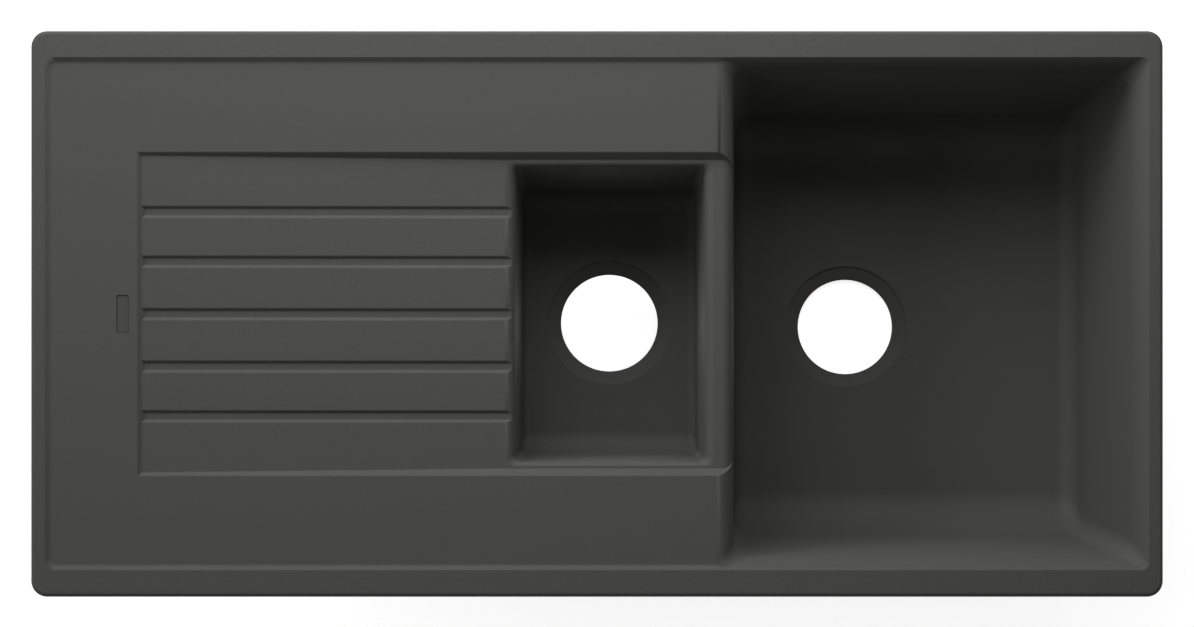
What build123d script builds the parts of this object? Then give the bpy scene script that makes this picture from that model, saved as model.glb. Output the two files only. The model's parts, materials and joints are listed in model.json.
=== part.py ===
"""Inset kitchen sink with a drainer, a half bowl and a main bowl, clamped to a worktop by its rim.

The frame: the origin is the centre of the worktop's cut-out, on the worktop's surface. +X points from the
drainer to the main bowl, +Y to the rear and +Z up. All sizes are in millimetres and all angles in degrees.
"""

import math
import os
from dataclasses import dataclass

from build123d import *

# Rim, which lies on the worktop
SINK_LENGTH = 1000.0
SINK_WIDTH = 500.0
SINK_CORNER = 14.0
RIM_THICKNESS = 7.0
RIM_EDGE_ROUND = 4.0

# Worktop and its seal
SEAT_OVERLAP = 10.0
CUTOUT_CLEARANCE = 4.0
SEAL_THICKNESS = 1.0
SEAL_WIDTH = 6.0
SEAL_SETBACK = 2.0

# Frame round the sunk top, and the ledges inside it
BAND_SIDE = 12.5
BAND_FRONT = 23.6
FRAME_CORNER = 7.0
LEDGE_DROP = 3.0
LEDGE_SLOPE = 35.0
LEDGE_COVE = 4.5
PLATE_THICKNESS = 9.0

# Drainer recess, whose floor falls to the bowls
RECESS_FROM_RIM = 94.0
RECESS_WIDTH = 286.0
RECESS_DROP_START = 2.7
RECESS_DROP_END = 6.2
RECESS_END_RUN = 3.0
RECESS_LIP = 10.0

# Grooves in the drainer
GROOVE_WIDTH = 10.3
GROOVE_DEPTH = 2.2
GROOVE_INNER = 46.4
GROOVE_OUTER = 90.4
GROOVE_END_RUN = 2.5

# Bowls
WALL = 8.0
FLOOR = 10.0
BRIDGE = 5.5
MAIN_LENGTH = 383.0
MAIN_DEPTH = 190.0
MAIN_CORNER = 17.0
MAIN_FLOOR_CORNER = 2.0
MAIN_LIP = 12.0
MAIN_LIP_SLOPE = 45.0
MAIN_LEFT_LIP = 16.0
MAIN_DRAFT_LEFT = 3.3
MAIN_DRAFT_RIGHT = 7.7
MAIN_DRAFT_FRONT = 7.0
MAIN_SIDE_ROUND = 19.0
MAIN_FRONT_ROUND = 44.0
HALF_LENGTH = 187.0
HALF_WIDTH = 271.0
HALF_DEPTH = 130.0
HALF_CORNER = 6.0
HALF_LIP_CORNER = 12.0
HALF_FLOOR_CORNER = 1.5
HALF_LIP_LEFT = 9.5
HALF_LIP_RIGHT = 9.5
HALF_LIP_FRONT = 4.5
HALF_DRAFT_SIDE = 2.0
HALF_DRAFT_FRONT = 5.0
HALF_SIDE_ROUND = 8.0
HALF_FRONT_ROUND = 22.0
CORNER_CLIMB = 3.0
ARC_STEPS = 5
SECTION_PITCH = 0.6

# Waste holes, each in a shallow dish
WASTE_DIAMETER = 90.0
WASTE_DISH_DIAMETER = 114.0
WASTE_DISH_STEP = 1.4
WASTE_DISH_DEPTH = 5.0
MAIN_WASTE_FROM_RIGHT = 250.8
HALF_WASTE_FROM_LEFT = 93.5

# Badge plate in its recess on the left ledge
BADGE_LENGTH = 33.4
BADGE_WIDTH = 11.0
BADGE_CORNER = 1.5
BADGE_RECESS_DEPTH = 1.4
BADGE_THICKNESS = 0.5
BADGE_GAP = 0.3
BADGE_FROM_RECESS = 13.2

# Underside: blind holes that are knocked out for a tap, and ribs below the drainer
KNOCKOUT_DIAMETER = 35.0
KNOCKOUT_SKIN = 3.5
KNOCKOUT_SPACING = 90.0
RIB_HEIGHT = 12.0
RIB_WIDTH = 8.0
RIB_SPACING = 88.0
RIB_MARGIN = 30.0
RIB_COUNT = 3

# Fixing clips below the rim
CLIP_OUTER = 400.0
CLIP_BY_DRAINER = 130.0
CLIP_BY_MAIN_BOWL = 170.0
CLIP_AT_END = 130.0
CLIP_FROM_CUTOUT = 8.7
BOSS_LENGTH = 52.0
BOSS_HEIGHT = 10.0
INSERT_DIAMETER = 6.0
INSERT_LENGTH = 8.0
INSERT_SPACING = 32.0
STRAP_THICKNESS = 1.6
STRAP_WIDTH = 16.0
STRAP_DROP = 56.0
EAR_LENGTH = 44.0
EAR_CORNER = 3.0
BRACKET_SCREW_DIAMETER = 3.5
BRACKET_SCREW_HEAD = 7.0
BRACKET_SCREW_HEAD_HEIGHT = 2.4
CLAMP_SCREW_DIAMETER = 5.0
CLAMP_SCREW_HEAD = 9.5
CLAMP_SCREW_HEAD_HEIGHT = 3.6
CLAMP_SCREW_HEAD_ROUND = 1.2
CLAMP_SCREW_ENTRY = 4.0
CLAMP_SCREW_RELIEF = 9.0
DRIVE_WIDTH = 1.3
DRIVE_LENGTH = 5.4
DRIVE_DEPTH = 2.2
COLLAR_DIAMETER = 8.0
COLLAR_HEIGHT = 1.2
NUT_SIZE = 11.2
NUT_HEIGHT = 5.0
HUB_DIAMETER = 7.4
CLAW_THICKNESS = 3.0
CLAW_WIDTH = 11.0
CLAW_REACH = 34.0
TOOTH_HEIGHT = 6.0
TOOTH_LENGTH = 3.0
TOOTH_SPACING = 8.0

# Clearances
RUNNING_GAP = 0.05
SLIDING_GAP = 0.2
HOLE_GAP = 0.3
REACH_THROUGH = 2.0

# Heights and edges that follow from the sizes above
RIM_TOP = SEAL_THICKNESS + RIM_THICKNESS
LEDGE_TOP = RIM_TOP - LEDGE_DROP
PLATE_UNDERSIDE = LEDGE_TOP - PLATE_THICKNESS
RECESS_START = LEDGE_TOP - RECESS_DROP_START
RECESS_END = LEDGE_TOP - RECESS_DROP_END
DRAINER_UNDERSIDE = RECESS_END - PLATE_THICKNESS
MAIN_FLOOR = RIM_TOP - MAIN_DEPTH
HALF_FLOOR = RIM_TOP - HALF_DEPTH
CUTOUT_LENGTH = SINK_LENGTH - 2 * SEAT_OVERLAP
CUTOUT_WIDTH = SINK_WIDTH - 2 * SEAT_OVERLAP
TRAY_LENGTH = CUTOUT_LENGTH - 2 * CUTOUT_CLEARANCE
TRAY_WIDTH = CUTOUT_WIDTH - 2 * CUTOUT_CLEARANCE
FRAME_LENGTH = SINK_LENGTH - 2 * BAND_SIDE
FRAME_WIDTH = SINK_WIDTH - 2 * BAND_FRONT
MAIN_RIGHT = FRAME_LENGTH / 2
MAIN_LEFT = MAIN_RIGHT - MAIN_LENGTH
HALF_RIGHT = MAIN_LEFT + MAIN_LEFT_LIP - RECESS_LIP - BRIDGE
HALF_LEFT = HALF_RIGHT - HALF_LENGTH
RECESS_LEFT = RECESS_FROM_RIM - SINK_LENGTH / 2
MAIN_WASTE = MAIN_RIGHT - MAIN_WASTE_FROM_RIGHT
HALF_WASTE = HALF_LEFT + HALF_WASTE_FROM_LEFT


@dataclass(frozen=True)
class Side:
    """One side of a bowl: a rounded lip, a wall that leans out by the draft, and a round into the floor."""

    top: float
    floor: float
    lip: float
    draft: float
    floor_round: float
    lip_slope: float = 0.0

    def lip_arc(self):
        """The lip's radius and its height, from its starting slope down to the wall."""
        start, wall = math.radians(self.lip_slope), math.radians(90 - self.draft)
        radius = self.lip / (math.sin(wall) - math.sin(start))
        return radius, radius * (math.cos(start) - math.cos(wall))

    def wall_inset(self, z):
        """How far the wall's plane lies inside the lip's outer edge at a height."""
        _, lip_height = self.lip_arc()
        return self.lip + (self.top - lip_height - z) * math.tan(math.radians(self.draft))

    def inset(self, z):
        """How far the bowl's surface lies inside the lip's outer edge at a height."""
        radius, lip_height = self.lip_arc()
        start, draft = math.radians(self.lip_slope), math.radians(self.draft)
        drop = max(0.0, self.top - z)
        if drop < lip_height:
            slope = math.acos(math.cos(start) - drop / radius)
            return radius * (math.sin(slope) - math.sin(start))
        round_top = self.floor + self.floor_round * (1 - math.sin(draft))
        if z >= round_top:
            return self.wall_inset(z)
        slope = math.asin(min(1.0, 1 - (z - self.floor) / self.floor_round))
        return self.wall_inset(round_top) + self.floor_round * (math.cos(draft) - math.cos(slope))

    def shell(self):
        """The same side on the outside of the bowl's wall, with no lip."""
        inset = self.wall_inset(self.top) - WALL
        outside = Side(self.top, self.floor - FLOOR, 0.0, self.draft, self.floor_round + WALL)
        return inset, outside

    def heights(self):
        """Heights at which the lip and the round into the floor are cut into even steps."""
        radius, _ = self.lip_arc()
        start, wall = math.radians(self.lip_slope), math.radians(90 - self.draft)
        draft = math.radians(self.draft)
        found = [self.top, self.floor]
        for step in range(1, ARC_STEPS + 1):
            slope = start + (wall - start) * step / ARC_STEPS
            found.append(self.top - radius * (math.cos(start) - math.cos(slope)))
            turn = draft + (math.pi / 2 - draft) * (step - 1) / ARC_STEPS
            found.append(self.floor + self.floor_round * (1 - math.sin(turn)))
        return found


def apart(heights):
    """Sorted heights, with those dropped that lie close above another; the highest always stays."""
    found = sorted(heights)
    kept = [found[0]]
    for z in found[1:-1]:
        if z - kept[-1] > SECTION_PITCH and found[-1] - z > SECTION_PITCH:
            kept.append(z)
    return [*kept, found[-1]]


@dataclass(frozen=True)
class Bowl:
    """A bowl: its outline at the lips, its four sides, and its corner radii."""

    left_edge: float
    right_edge: float
    half_width: float
    left: Side
    right: Side
    front: Side
    lip_corner: float
    corner: float
    floor_corner: float

    def corner_at(self, z):
        """The radius of the upright corners: it opens as the floor's rounds climb, and closes at the lip."""
        _, lip_height = self.front.lip_arc()
        lip_share = min(1.0, max(0.0, self.front.top - z) / lip_height)
        climb = min(1.0, max(0.0, CORNER_CLIMB * (z - self.front.floor) / self.left.floor_round))
        above = self.lip_corner + (self.corner - self.lip_corner) * lip_share
        return min(above, self.floor_corner + (self.corner - self.floor_corner) * math.sqrt(climb))

    def space(self):
        """The space inside the bowl, open at the top."""
        top = RIM_TOP + REACH_THROUGH
        with BuildPart() as made:
            for z in [*apart(z for side in (self.left, self.right, self.front) for z in side.heights()), top]:
                left = self.left_edge + self.left.inset(z)
                right = self.right_edge - self.right.inset(z)
                reach = self.half_width - self.front.inset(z)
                with BuildSketch(Plane(((left + right) / 2, 0, z))):
                    RectangleRounded(right - left, 2 * reach, self.corner_at(z))
            loft(ruled=True)
        return made.part

    def block(self):
        """The outside of the bowl's wall and floor, up to the plate's underside."""
        (left_inset, left), (right_inset, right), (front_inset, front) = (
            side.shell() for side in (self.left, self.right, self.front)
        )
        top = min(left.top, PLATE_UNDERSIDE + REACH_THROUGH)
        heights = [z for side in (left, right, front) for z in side.heights() if z < top - SECTION_PITCH]
        with BuildPart() as made:
            for z in apart([*heights, top]):
                low = self.left_edge + left_inset + left.inset(z)
                high = self.right_edge - right_inset - right.inset(z)
                reach = self.half_width - front_inset - front.inset(z)
                with BuildSketch(Plane(((low + high) / 2, 0, z))):
                    RectangleRounded(high - low, 2 * reach, self.corner + WALL)
            loft(ruled=True)
        return made.part


MAIN_BOWL = Bowl(
    left_edge=MAIN_LEFT,
    right_edge=MAIN_RIGHT,
    half_width=FRAME_WIDTH / 2,
    left=Side(LEDGE_TOP, MAIN_FLOOR, MAIN_LEFT_LIP, MAIN_DRAFT_LEFT, MAIN_SIDE_ROUND),
    right=Side(RIM_TOP, MAIN_FLOOR, MAIN_LIP, MAIN_DRAFT_RIGHT, MAIN_SIDE_ROUND, MAIN_LIP_SLOPE),
    front=Side(RIM_TOP, MAIN_FLOOR, MAIN_LIP, MAIN_DRAFT_FRONT, MAIN_FRONT_ROUND, MAIN_LIP_SLOPE),
    lip_corner=FRAME_CORNER,
    corner=MAIN_CORNER,
    floor_corner=MAIN_FLOOR_CORNER,
)
HALF_BOWL = Bowl(
    left_edge=HALF_LEFT,
    right_edge=HALF_RIGHT,
    half_width=HALF_WIDTH / 2,
    left=Side(RECESS_END, HALF_FLOOR, HALF_LIP_LEFT, HALF_DRAFT_SIDE, HALF_SIDE_ROUND),
    right=Side(RECESS_END, HALF_FLOOR, HALF_LIP_RIGHT, HALF_DRAFT_SIDE, HALF_SIDE_ROUND),
    front=Side(RECESS_END, HALF_FLOOR, HALF_LIP_FRONT, HALF_DRAFT_FRONT, HALF_FRONT_ROUND),
    lip_corner=HALF_LIP_CORNER,
    corner=HALF_CORNER,
    floor_corner=HALF_FLOOR_CORNER,
)


def frame_pocket():
    """The space above the ledges, with slanted, coved steps inside the frame. It ends in the main bowl."""
    left, right = -FRAME_LENGTH / 2, MAIN_LEFT + 2 * MAIN_LEFT_LIP
    with BuildPart() as made:
        with BuildSketch(Plane(((left + right) / 2, 0, RIM_TOP))):
            RectangleRounded(right - left, FRAME_WIDTH, FRAME_CORNER)
        extrude(amount=-LEDGE_DROP, taper=90 - LEDGE_SLOPE)
        foot = made.faces().sort_by(Axis.Z)[0]
        fillet(foot.edges(), LEDGE_COVE)
        extrude(made.faces().sort_by(Axis.Z)[-1], amount=REACH_THROUGH)
    return made.part


def drainer_recess():
    """The space above the recess floor, which falls along X and rounds down into the main bowl."""
    half, foot = RECESS_WIDTH / 2, RECESS_WIDTH / 2 - RECESS_DROP_END
    sky = RIM_TOP + REACH_THROUGH
    bowl_wall = MAIN_LEFT + MAIN_LEFT_LIP
    lip_start = bowl_wall - RECESS_LIP
    low = RECESS_END - RECESS_LIP
    with BuildPart() as made:
        with BuildSketch(Plane.XZ) as along:
            with BuildLine():
                Polyline(
                    (RECESS_LEFT, sky),
                    (RECESS_LEFT, LEDGE_TOP),
                    (RECESS_LEFT + RECESS_END_RUN, RECESS_START),
                    (HALF_LEFT, RECESS_END),
                    (lip_start, RECESS_END),
                )
                RadiusArc((lip_start, RECESS_END), (bowl_wall, low), RECESS_LIP)
                in_bowl = bowl_wall + WALL
                Polyline((bowl_wall, low), (in_bowl, low), (in_bowl, sky), (RECESS_LEFT, sky))
            make_face()
        extrude(amount=half + REACH_THROUGH, both=True)
        with BuildSketch(Plane.YZ.offset(RECESS_LEFT)):
            with BuildLine():
                Polyline(
                    (half, LEDGE_TOP),
                    (foot, RECESS_END),
                    (foot, low),
                    (-foot, low),
                    (-foot, RECESS_END),
                    (-half, LEDGE_TOP),
                    (-half, sky),
                    (half, sky),
                    close=True,
                )
            make_face()
        extrude(amount=bowl_wall + WALL - RECESS_LEFT, mode=Mode.INTERSECT)
    return made.part


def groove():
    """The space of one groove at Y 0, parallel to the falling floor, with a ramp at its closed end."""
    start = RECESS_LEFT + RECESS_END_RUN
    end = HALF_LEFT + HALF_LIP_LEFT
    fall = (RECESS_START - RECESS_END) / (HALF_LEFT - start)
    sky = GROOVE_DEPTH
    with BuildPart() as made:
        with BuildSketch(Plane.XZ):
            with BuildLine():
                Polyline(
                    (start - GROOVE_END_RUN, RECESS_START + sky),
                    (start, RECESS_START),
                    (start + GROOVE_END_RUN, RECESS_START - GROOVE_DEPTH - fall * GROOVE_END_RUN),
                    (end, RECESS_START - GROOVE_DEPTH - fall * (end - start)),
                    (end, RECESS_START + sky),
                    close=True,
                )
            make_face()
        extrude(amount=GROOVE_WIDTH, both=True)
        section = Plane(origin=(start, 0, RECESS_START), x_dir=(0, 1, 0), z_dir=(1, 0, -fall))
        with BuildSketch(section.offset(-GROOVE_WIDTH)):
            with BuildLine():
                Polyline(
                    (GROOVE_WIDTH / 2 + sky, sky),
                    (GROOVE_WIDTH / 2 - GROOVE_DEPTH, -GROOVE_DEPTH),
                    (GROOVE_DEPTH - GROOVE_WIDTH / 2, -GROOVE_DEPTH),
                    (-GROOVE_WIDTH / 2 - sky, sky),
                    close=True,
                )
            make_face()
        extrude(amount=end - start + 2 * GROOVE_WIDTH, mode=Mode.INTERSECT)
    return made.part


def waste_hole(floor_z):
    """The space of a waste hole at X 0: a dish with a low step at its edge, and the hole itself."""
    dish, hole = WASTE_DISH_DIAMETER / 2, WASTE_DIAMETER / 2
    with BuildPart() as made:
        with BuildSketch(Plane.XZ):
            with BuildLine():
                Polyline(
                    (0, floor_z + REACH_THROUGH),
                    (dish, floor_z + REACH_THROUGH),
                    (dish, floor_z - WASTE_DISH_STEP),
                    (hole, floor_z - WASTE_DISH_DEPTH),
                    (hole, floor_z - FLOOR - REACH_THROUGH),
                    (0, floor_z - FLOOR - REACH_THROUGH),
                    close=True,
                )
            make_face()
        revolve(axis=Axis.Z)
    return made.part


def ledge_middle():
    """The Y of the middle of the rear ledge, between the recess and the frame."""
    return (RECESS_WIDTH / 2 + FRAME_WIDTH / 2) / 2


def clip_planes():
    """Name and plane of each clip: the origin is on the clamp screw's axis, X runs along the rim, Y outwards."""
    reach_x = CUTOUT_LENGTH / 2 - CLIP_FROM_CUTOUT
    reach_y = CUTOUT_WIDTH / 2 - CLIP_FROM_CUTOUT
    along_rim = (-CLIP_OUTER, -CLIP_BY_DRAINER, CLIP_BY_MAIN_BOWL, CLIP_OUTER)
    planes = {}
    for number, x in enumerate(along_rim, start=1):
        planes[f"rear_{number}"] = Plane(origin=(x, reach_y, 0), x_dir=(1, 0, 0), z_dir=(0, 0, 1))
        planes[f"front_{number}"] = Plane(origin=(x, -reach_y, 0), x_dir=(-1, 0, 0), z_dir=(0, 0, 1))
    for number, y in enumerate((-CLIP_AT_END, CLIP_AT_END), start=1):
        planes[f"left_{number}"] = Plane(origin=(-reach_x, y, 0), x_dir=(0, 1, 0), z_dir=(0, 0, 1))
    return planes


CLIPS = clip_planes()

# Heights of a clip, from the boss down
BOSS_BOTTOM = PLATE_UNDERSIDE - BOSS_HEIGHT
EAR_BOTTOM = BOSS_BOTTOM - STRAP_THICKNESS
STRAP_BOTTOM = BOSS_BOTTOM - STRAP_DROP
FOOT_TOP = STRAP_BOTTOM + STRAP_THICKNESS
COLLAR_BOTTOM = FOOT_TOP + SLIDING_GAP
NUT_BOTTOM = COLLAR_BOTTOM + COLLAR_HEIGHT + SLIDING_GAP
CLAW_BOTTOM = NUT_BOTTOM + NUT_HEIGHT + RUNNING_GAP
STRAP_FACE = -(NUT_SIZE / 2 + SLIDING_GAP)
STRAP_BACK = STRAP_FACE - STRAP_THICKNESS
FLANGE_REACH = NUT_SIZE / 2
BOSS_REACH = CLIP_FROM_CUTOUT - CUTOUT_CLEARANCE
BOSS_BACK = STRAP_BACK - WALL

with BuildPart() as sink_body:
    with BuildSketch(Plane.XY.offset(SEAL_THICKNESS)):
        RectangleRounded(SINK_LENGTH, SINK_WIDTH, SINK_CORNER)
    extrude(amount=RIM_THICKNESS)
    fillet(sink_body.faces().sort_by(Axis.Z)[-1].edges(), RIM_EDGE_ROUND)
    with BuildSketch(Plane.XY.offset(PLATE_UNDERSIDE)):
        RectangleRounded(TRAY_LENGTH, TRAY_WIDTH, SINK_CORNER)
    extrude(amount=SEAL_THICKNESS - PLATE_UNDERSIDE)
    drainer_length = HALF_RIGHT - RECESS_LEFT
    with BuildSketch(Plane((RECESS_LEFT + drainer_length / 2, 0, DRAINER_UNDERSIDE))):
        Rectangle(drainer_length, RECESS_WIDTH)
    extrude(amount=PLATE_UNDERSIDE - DRAINER_UNDERSIDE)
    rib_length = HALF_LEFT - RECESS_LEFT - 2 * RIB_MARGIN
    with BuildSketch(Plane((RECESS_LEFT + RIB_MARGIN + rib_length / 2, 0, DRAINER_UNDERSIDE))):
        with GridLocations(0, RIB_SPACING, 1, RIB_COUNT):
            RectangleRounded(rib_length, RIB_WIDTH, RIB_WIDTH / 2 - RUNNING_GAP)
    extrude(amount=-RIB_HEIGHT)
    for plane in CLIPS.values():
        with BuildSketch(plane.offset(BOSS_BOTTOM)):
            with BuildLine():
                Polyline(
                    (-BOSS_LENGTH / 2, BOSS_BACK),
                    (BOSS_LENGTH / 2, BOSS_BACK),
                    (BOSS_LENGTH / 2, BOSS_REACH),
                    (-BOSS_LENGTH / 2, BOSS_REACH),
                    close=True,
                )
            make_face()
        extrude(amount=BOSS_HEIGHT)
    add(MAIN_BOWL.block())
    add(HALF_BOWL.block())
    add(frame_pocket(), mode=Mode.SUBTRACT)
    add(MAIN_BOWL.space(), mode=Mode.SUBTRACT)
    add(drainer_recess(), mode=Mode.SUBTRACT)
    add(HALF_BOWL.space(), mode=Mode.SUBTRACT)
    groove_ys = [-GROOVE_OUTER, -GROOVE_INNER, 0, GROOVE_INNER, GROOVE_OUTER]
    with Locations(*[(0, y, 0) for y in groove_ys]):
        add(groove(), mode=Mode.SUBTRACT)
    with Locations((MAIN_WASTE, 0, 0)):
        add(waste_hole(MAIN_FLOOR), mode=Mode.SUBTRACT)
    with Locations((HALF_WASTE, 0, 0)):
        add(waste_hole(HALF_FLOOR), mode=Mode.SUBTRACT)
    with BuildSketch(Plane((RECESS_LEFT - BADGE_FROM_RECESS, 0, LEDGE_TOP - BADGE_RECESS_DEPTH))):
        RectangleRounded(BADGE_WIDTH, BADGE_LENGTH, BADGE_CORNER)
    extrude(amount=BADGE_RECESS_DEPTH + REACH_THROUGH, mode=Mode.SUBTRACT)
    with BuildSketch(Plane((HALF_WASTE - KNOCKOUT_SPACING / 2, 0, PLATE_UNDERSIDE - REACH_THROUGH))):
        with GridLocations(KNOCKOUT_SPACING, 2 * ledge_middle(), 2, 2):
            Circle(KNOCKOUT_DIAMETER / 2)
    extrude(amount=PLATE_THICKNESS - KNOCKOUT_SKIN + REACH_THROUGH, mode=Mode.SUBTRACT)
    for plane in CLIPS.values():
        with BuildSketch(plane.offset(BOSS_BOTTOM)):
            with GridLocations(INSERT_SPACING, 0, 2, 1):
                Circle(INSERT_DIAMETER / 2 + RUNNING_GAP)
        extrude(amount=INSERT_LENGTH, mode=Mode.SUBTRACT)
        with BuildSketch(plane.offset(BOSS_BOTTOM)):
            Circle(CLAMP_SCREW_RELIEF / 2)
        extrude(amount=CLAMP_SCREW_ENTRY + REACH_THROUGH, mode=Mode.SUBTRACT)

with BuildPart() as badge_plate:
    with BuildSketch(Plane((RECESS_LEFT - BADGE_FROM_RECESS, 0, LEDGE_TOP - BADGE_RECESS_DEPTH))):
        RectangleRounded(BADGE_WIDTH - 2 * BADGE_GAP, BADGE_LENGTH - 2 * BADGE_GAP, BADGE_CORNER - BADGE_GAP)
    extrude(amount=BADGE_THICKNESS)

with BuildPart() as rim_seal:
    seal_length = SINK_LENGTH - 2 * SEAL_SETBACK
    seal_width = SINK_WIDTH - 2 * SEAL_SETBACK
    with BuildSketch():
        RectangleRounded(seal_length, seal_width, SINK_CORNER - SEAL_SETBACK)
        RectangleRounded(
            seal_length - 2 * SEAL_WIDTH,
            seal_width - 2 * SEAL_WIDTH,
            SINK_CORNER - SEAL_SETBACK - SEAL_WIDTH,
            mode=Mode.SUBTRACT,
        )
    extrude(amount=SEAL_THICKNESS)

with BuildPart() as boss_inserts:
    for plane in CLIPS.values():
        with BuildSketch(plane.offset(BOSS_BOTTOM)):
            with GridLocations(INSERT_SPACING, 0, 2, 1):
                Circle(INSERT_DIAMETER / 2)
                Circle(BRACKET_SCREW_DIAMETER / 2 + RUNNING_GAP, mode=Mode.SUBTRACT)
        extrude(amount=INSERT_LENGTH)

with BuildPart() as bracket_screws:
    for plane in CLIPS.values():
        with BuildSketch(plane.offset(EAR_BOTTOM)):
            with GridLocations(INSERT_SPACING, 0, 2, 1):
                Circle(BRACKET_SCREW_HEAD / 2)
        extrude(amount=-BRACKET_SCREW_HEAD_HEIGHT)
        with BuildSketch(plane.offset(EAR_BOTTOM)):
            with GridLocations(INSERT_SPACING, 0, 2, 1):
                Circle(BRACKET_SCREW_DIAMETER / 2)
        extrude(amount=STRAP_THICKNESS + INSERT_LENGTH)


def clip_bracket(plane):
    """A bent strap: an ear on the boss, a back beside the nut, and a foot that carries the clamp screw."""
    with BuildPart() as made:
        side_view = Plane(origin=plane.origin, x_dir=plane.y_dir, z_dir=plane.x_dir)
        with BuildSketch(side_view):
            with BuildLine():
                Polyline(
                    (STRAP_BACK, BOSS_BOTTOM),
                    (FLANGE_REACH, BOSS_BOTTOM),
                    (FLANGE_REACH, EAR_BOTTOM),
                    (STRAP_FACE, EAR_BOTTOM),
                    (STRAP_FACE, FOOT_TOP),
                    (FLANGE_REACH, FOOT_TOP),
                    (FLANGE_REACH, STRAP_BOTTOM),
                    (STRAP_BACK, STRAP_BOTTOM),
                    close=True,
                )
            make_face()
        extrude(amount=STRAP_WIDTH / 2, both=True)
        along_rim = made.edges().filter_by(Axis(plane.origin, plane.x_dir))
        fillet([edge for edge in along_rim if is_at(plane, edge, STRAP_BACK)], STRAP_THICKNESS)
        with BuildSketch(plane.offset(EAR_BOTTOM)):
            with Locations((0, (STRAP_FACE + FLANGE_REACH) / 2)):
                RectangleRounded(EAR_LENGTH, FLANGE_REACH - STRAP_FACE, EAR_CORNER)
        extrude(amount=STRAP_THICKNESS)
        with BuildSketch(plane.offset(EAR_BOTTOM)):
            with GridLocations(INSERT_SPACING, 0, 2, 1):
                Circle(BRACKET_SCREW_DIAMETER / 2 + HOLE_GAP)
            Circle(CLAMP_SCREW_DIAMETER / 2 + HOLE_GAP)
        extrude(amount=STRAP_THICKNESS, mode=Mode.SUBTRACT)
        with BuildSketch(plane.offset(STRAP_BOTTOM)):
            Circle(CLAMP_SCREW_DIAMETER / 2 + RUNNING_GAP)
        extrude(amount=STRAP_THICKNESS, mode=Mode.SUBTRACT)
    return made.part


def is_at(plane, edge, outwards):
    """Whether an edge's centre lies at a distance outwards from a clip's axis."""
    return abs(plane.to_local_coords(edge.center()).Y - outwards) < RUNNING_GAP


def clamp_screw(plane):
    """A pan-head screw with a cross slot, held in the bracket's foot by its head and a swaged collar.

    Its thread is left-handed, so that the nut climbs while the screw turns clockwise as seen from below.
    """
    with BuildPart() as made:
        with BuildSketch(plane.offset(STRAP_BOTTOM - SLIDING_GAP)):
            Circle(CLAMP_SCREW_HEAD / 2)
        extrude(amount=-CLAMP_SCREW_HEAD_HEIGHT)
        head_bottom = STRAP_BOTTOM - SLIDING_GAP - CLAMP_SCREW_HEAD_HEIGHT
        fillet(made.edges().sort_by(Axis.Z)[0], CLAMP_SCREW_HEAD_ROUND)
        with BuildSketch(plane.offset(STRAP_BOTTOM - SLIDING_GAP)):
            Circle(CLAMP_SCREW_DIAMETER / 2)
        extrude(amount=BOSS_BOTTOM + CLAMP_SCREW_ENTRY - STRAP_BOTTOM + SLIDING_GAP)
        with BuildSketch(plane.offset(COLLAR_BOTTOM)):
            Circle(COLLAR_DIAMETER / 2)
        extrude(amount=COLLAR_HEIGHT)
        with BuildSketch(plane.offset(head_bottom)):
            Rectangle(DRIVE_LENGTH, DRIVE_WIDTH)
            Rectangle(DRIVE_WIDTH, DRIVE_LENGTH)
        extrude(amount=DRIVE_DEPTH, mode=Mode.SUBTRACT)
    return made.part


def clamp_nut(plane):
    """A square nut with a round hub on top, on which the claw swings."""
    with BuildPart() as made:
        with BuildSketch(plane.offset(NUT_BOTTOM)):
            Rectangle(NUT_SIZE, NUT_SIZE)
        extrude(amount=NUT_HEIGHT)
        with BuildSketch(plane.offset(NUT_BOTTOM + NUT_HEIGHT)):
            Circle(HUB_DIAMETER / 2)
        extrude(amount=CLAW_THICKNESS + SLIDING_GAP)
        with BuildSketch(plane.offset(NUT_BOTTOM)):
            Circle(CLAMP_SCREW_DIAMETER / 2 + RUNNING_GAP)
        extrude(amount=NUT_HEIGHT + CLAW_THICKNESS + SLIDING_GAP, mode=Mode.SUBTRACT)
    return made.part


def claw(plane):
    """A flat claw, parked along the rim, whose two teeth bite the worktop's underside once it swings out."""
    with BuildPart() as made:
        with BuildSketch(plane.offset(CLAW_BOTTOM)):
            Circle(CLAW_WIDTH / 2)
            with BuildLine():
                Polyline(
                    (0, -CLAW_WIDTH / 2),
                    (CLAW_REACH, -CLAW_WIDTH / 2),
                    (CLAW_REACH, CLAW_WIDTH / 2),
                    (0, CLAW_WIDTH / 2),
                    close=True,
                )
            make_face()
            Circle(HUB_DIAMETER / 2 + RUNNING_GAP, mode=Mode.SUBTRACT)
        extrude(amount=CLAW_THICKNESS)
        side_view = Plane(origin=plane.origin, x_dir=plane.x_dir, z_dir=-plane.y_dir)
        claw_top = CLAW_BOTTOM + CLAW_THICKNESS
        for tip in (CLAW_REACH, CLAW_REACH - TOOTH_SPACING):
            with BuildSketch(side_view):
                with BuildLine():
                    Polyline(
                        (tip - TOOTH_LENGTH, claw_top),
                        (tip, claw_top),
                        (tip, claw_top + TOOTH_HEIGHT),
                        close=True,
                    )
                make_face()
            extrude(amount=CLAW_WIDTH / 2, both=True)
    return made.part


def export(part, name):
    """Labels a finished piece and writes it as its own file."""
    part.label = name
    export_step(part, f"parts/{name}.step")


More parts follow.
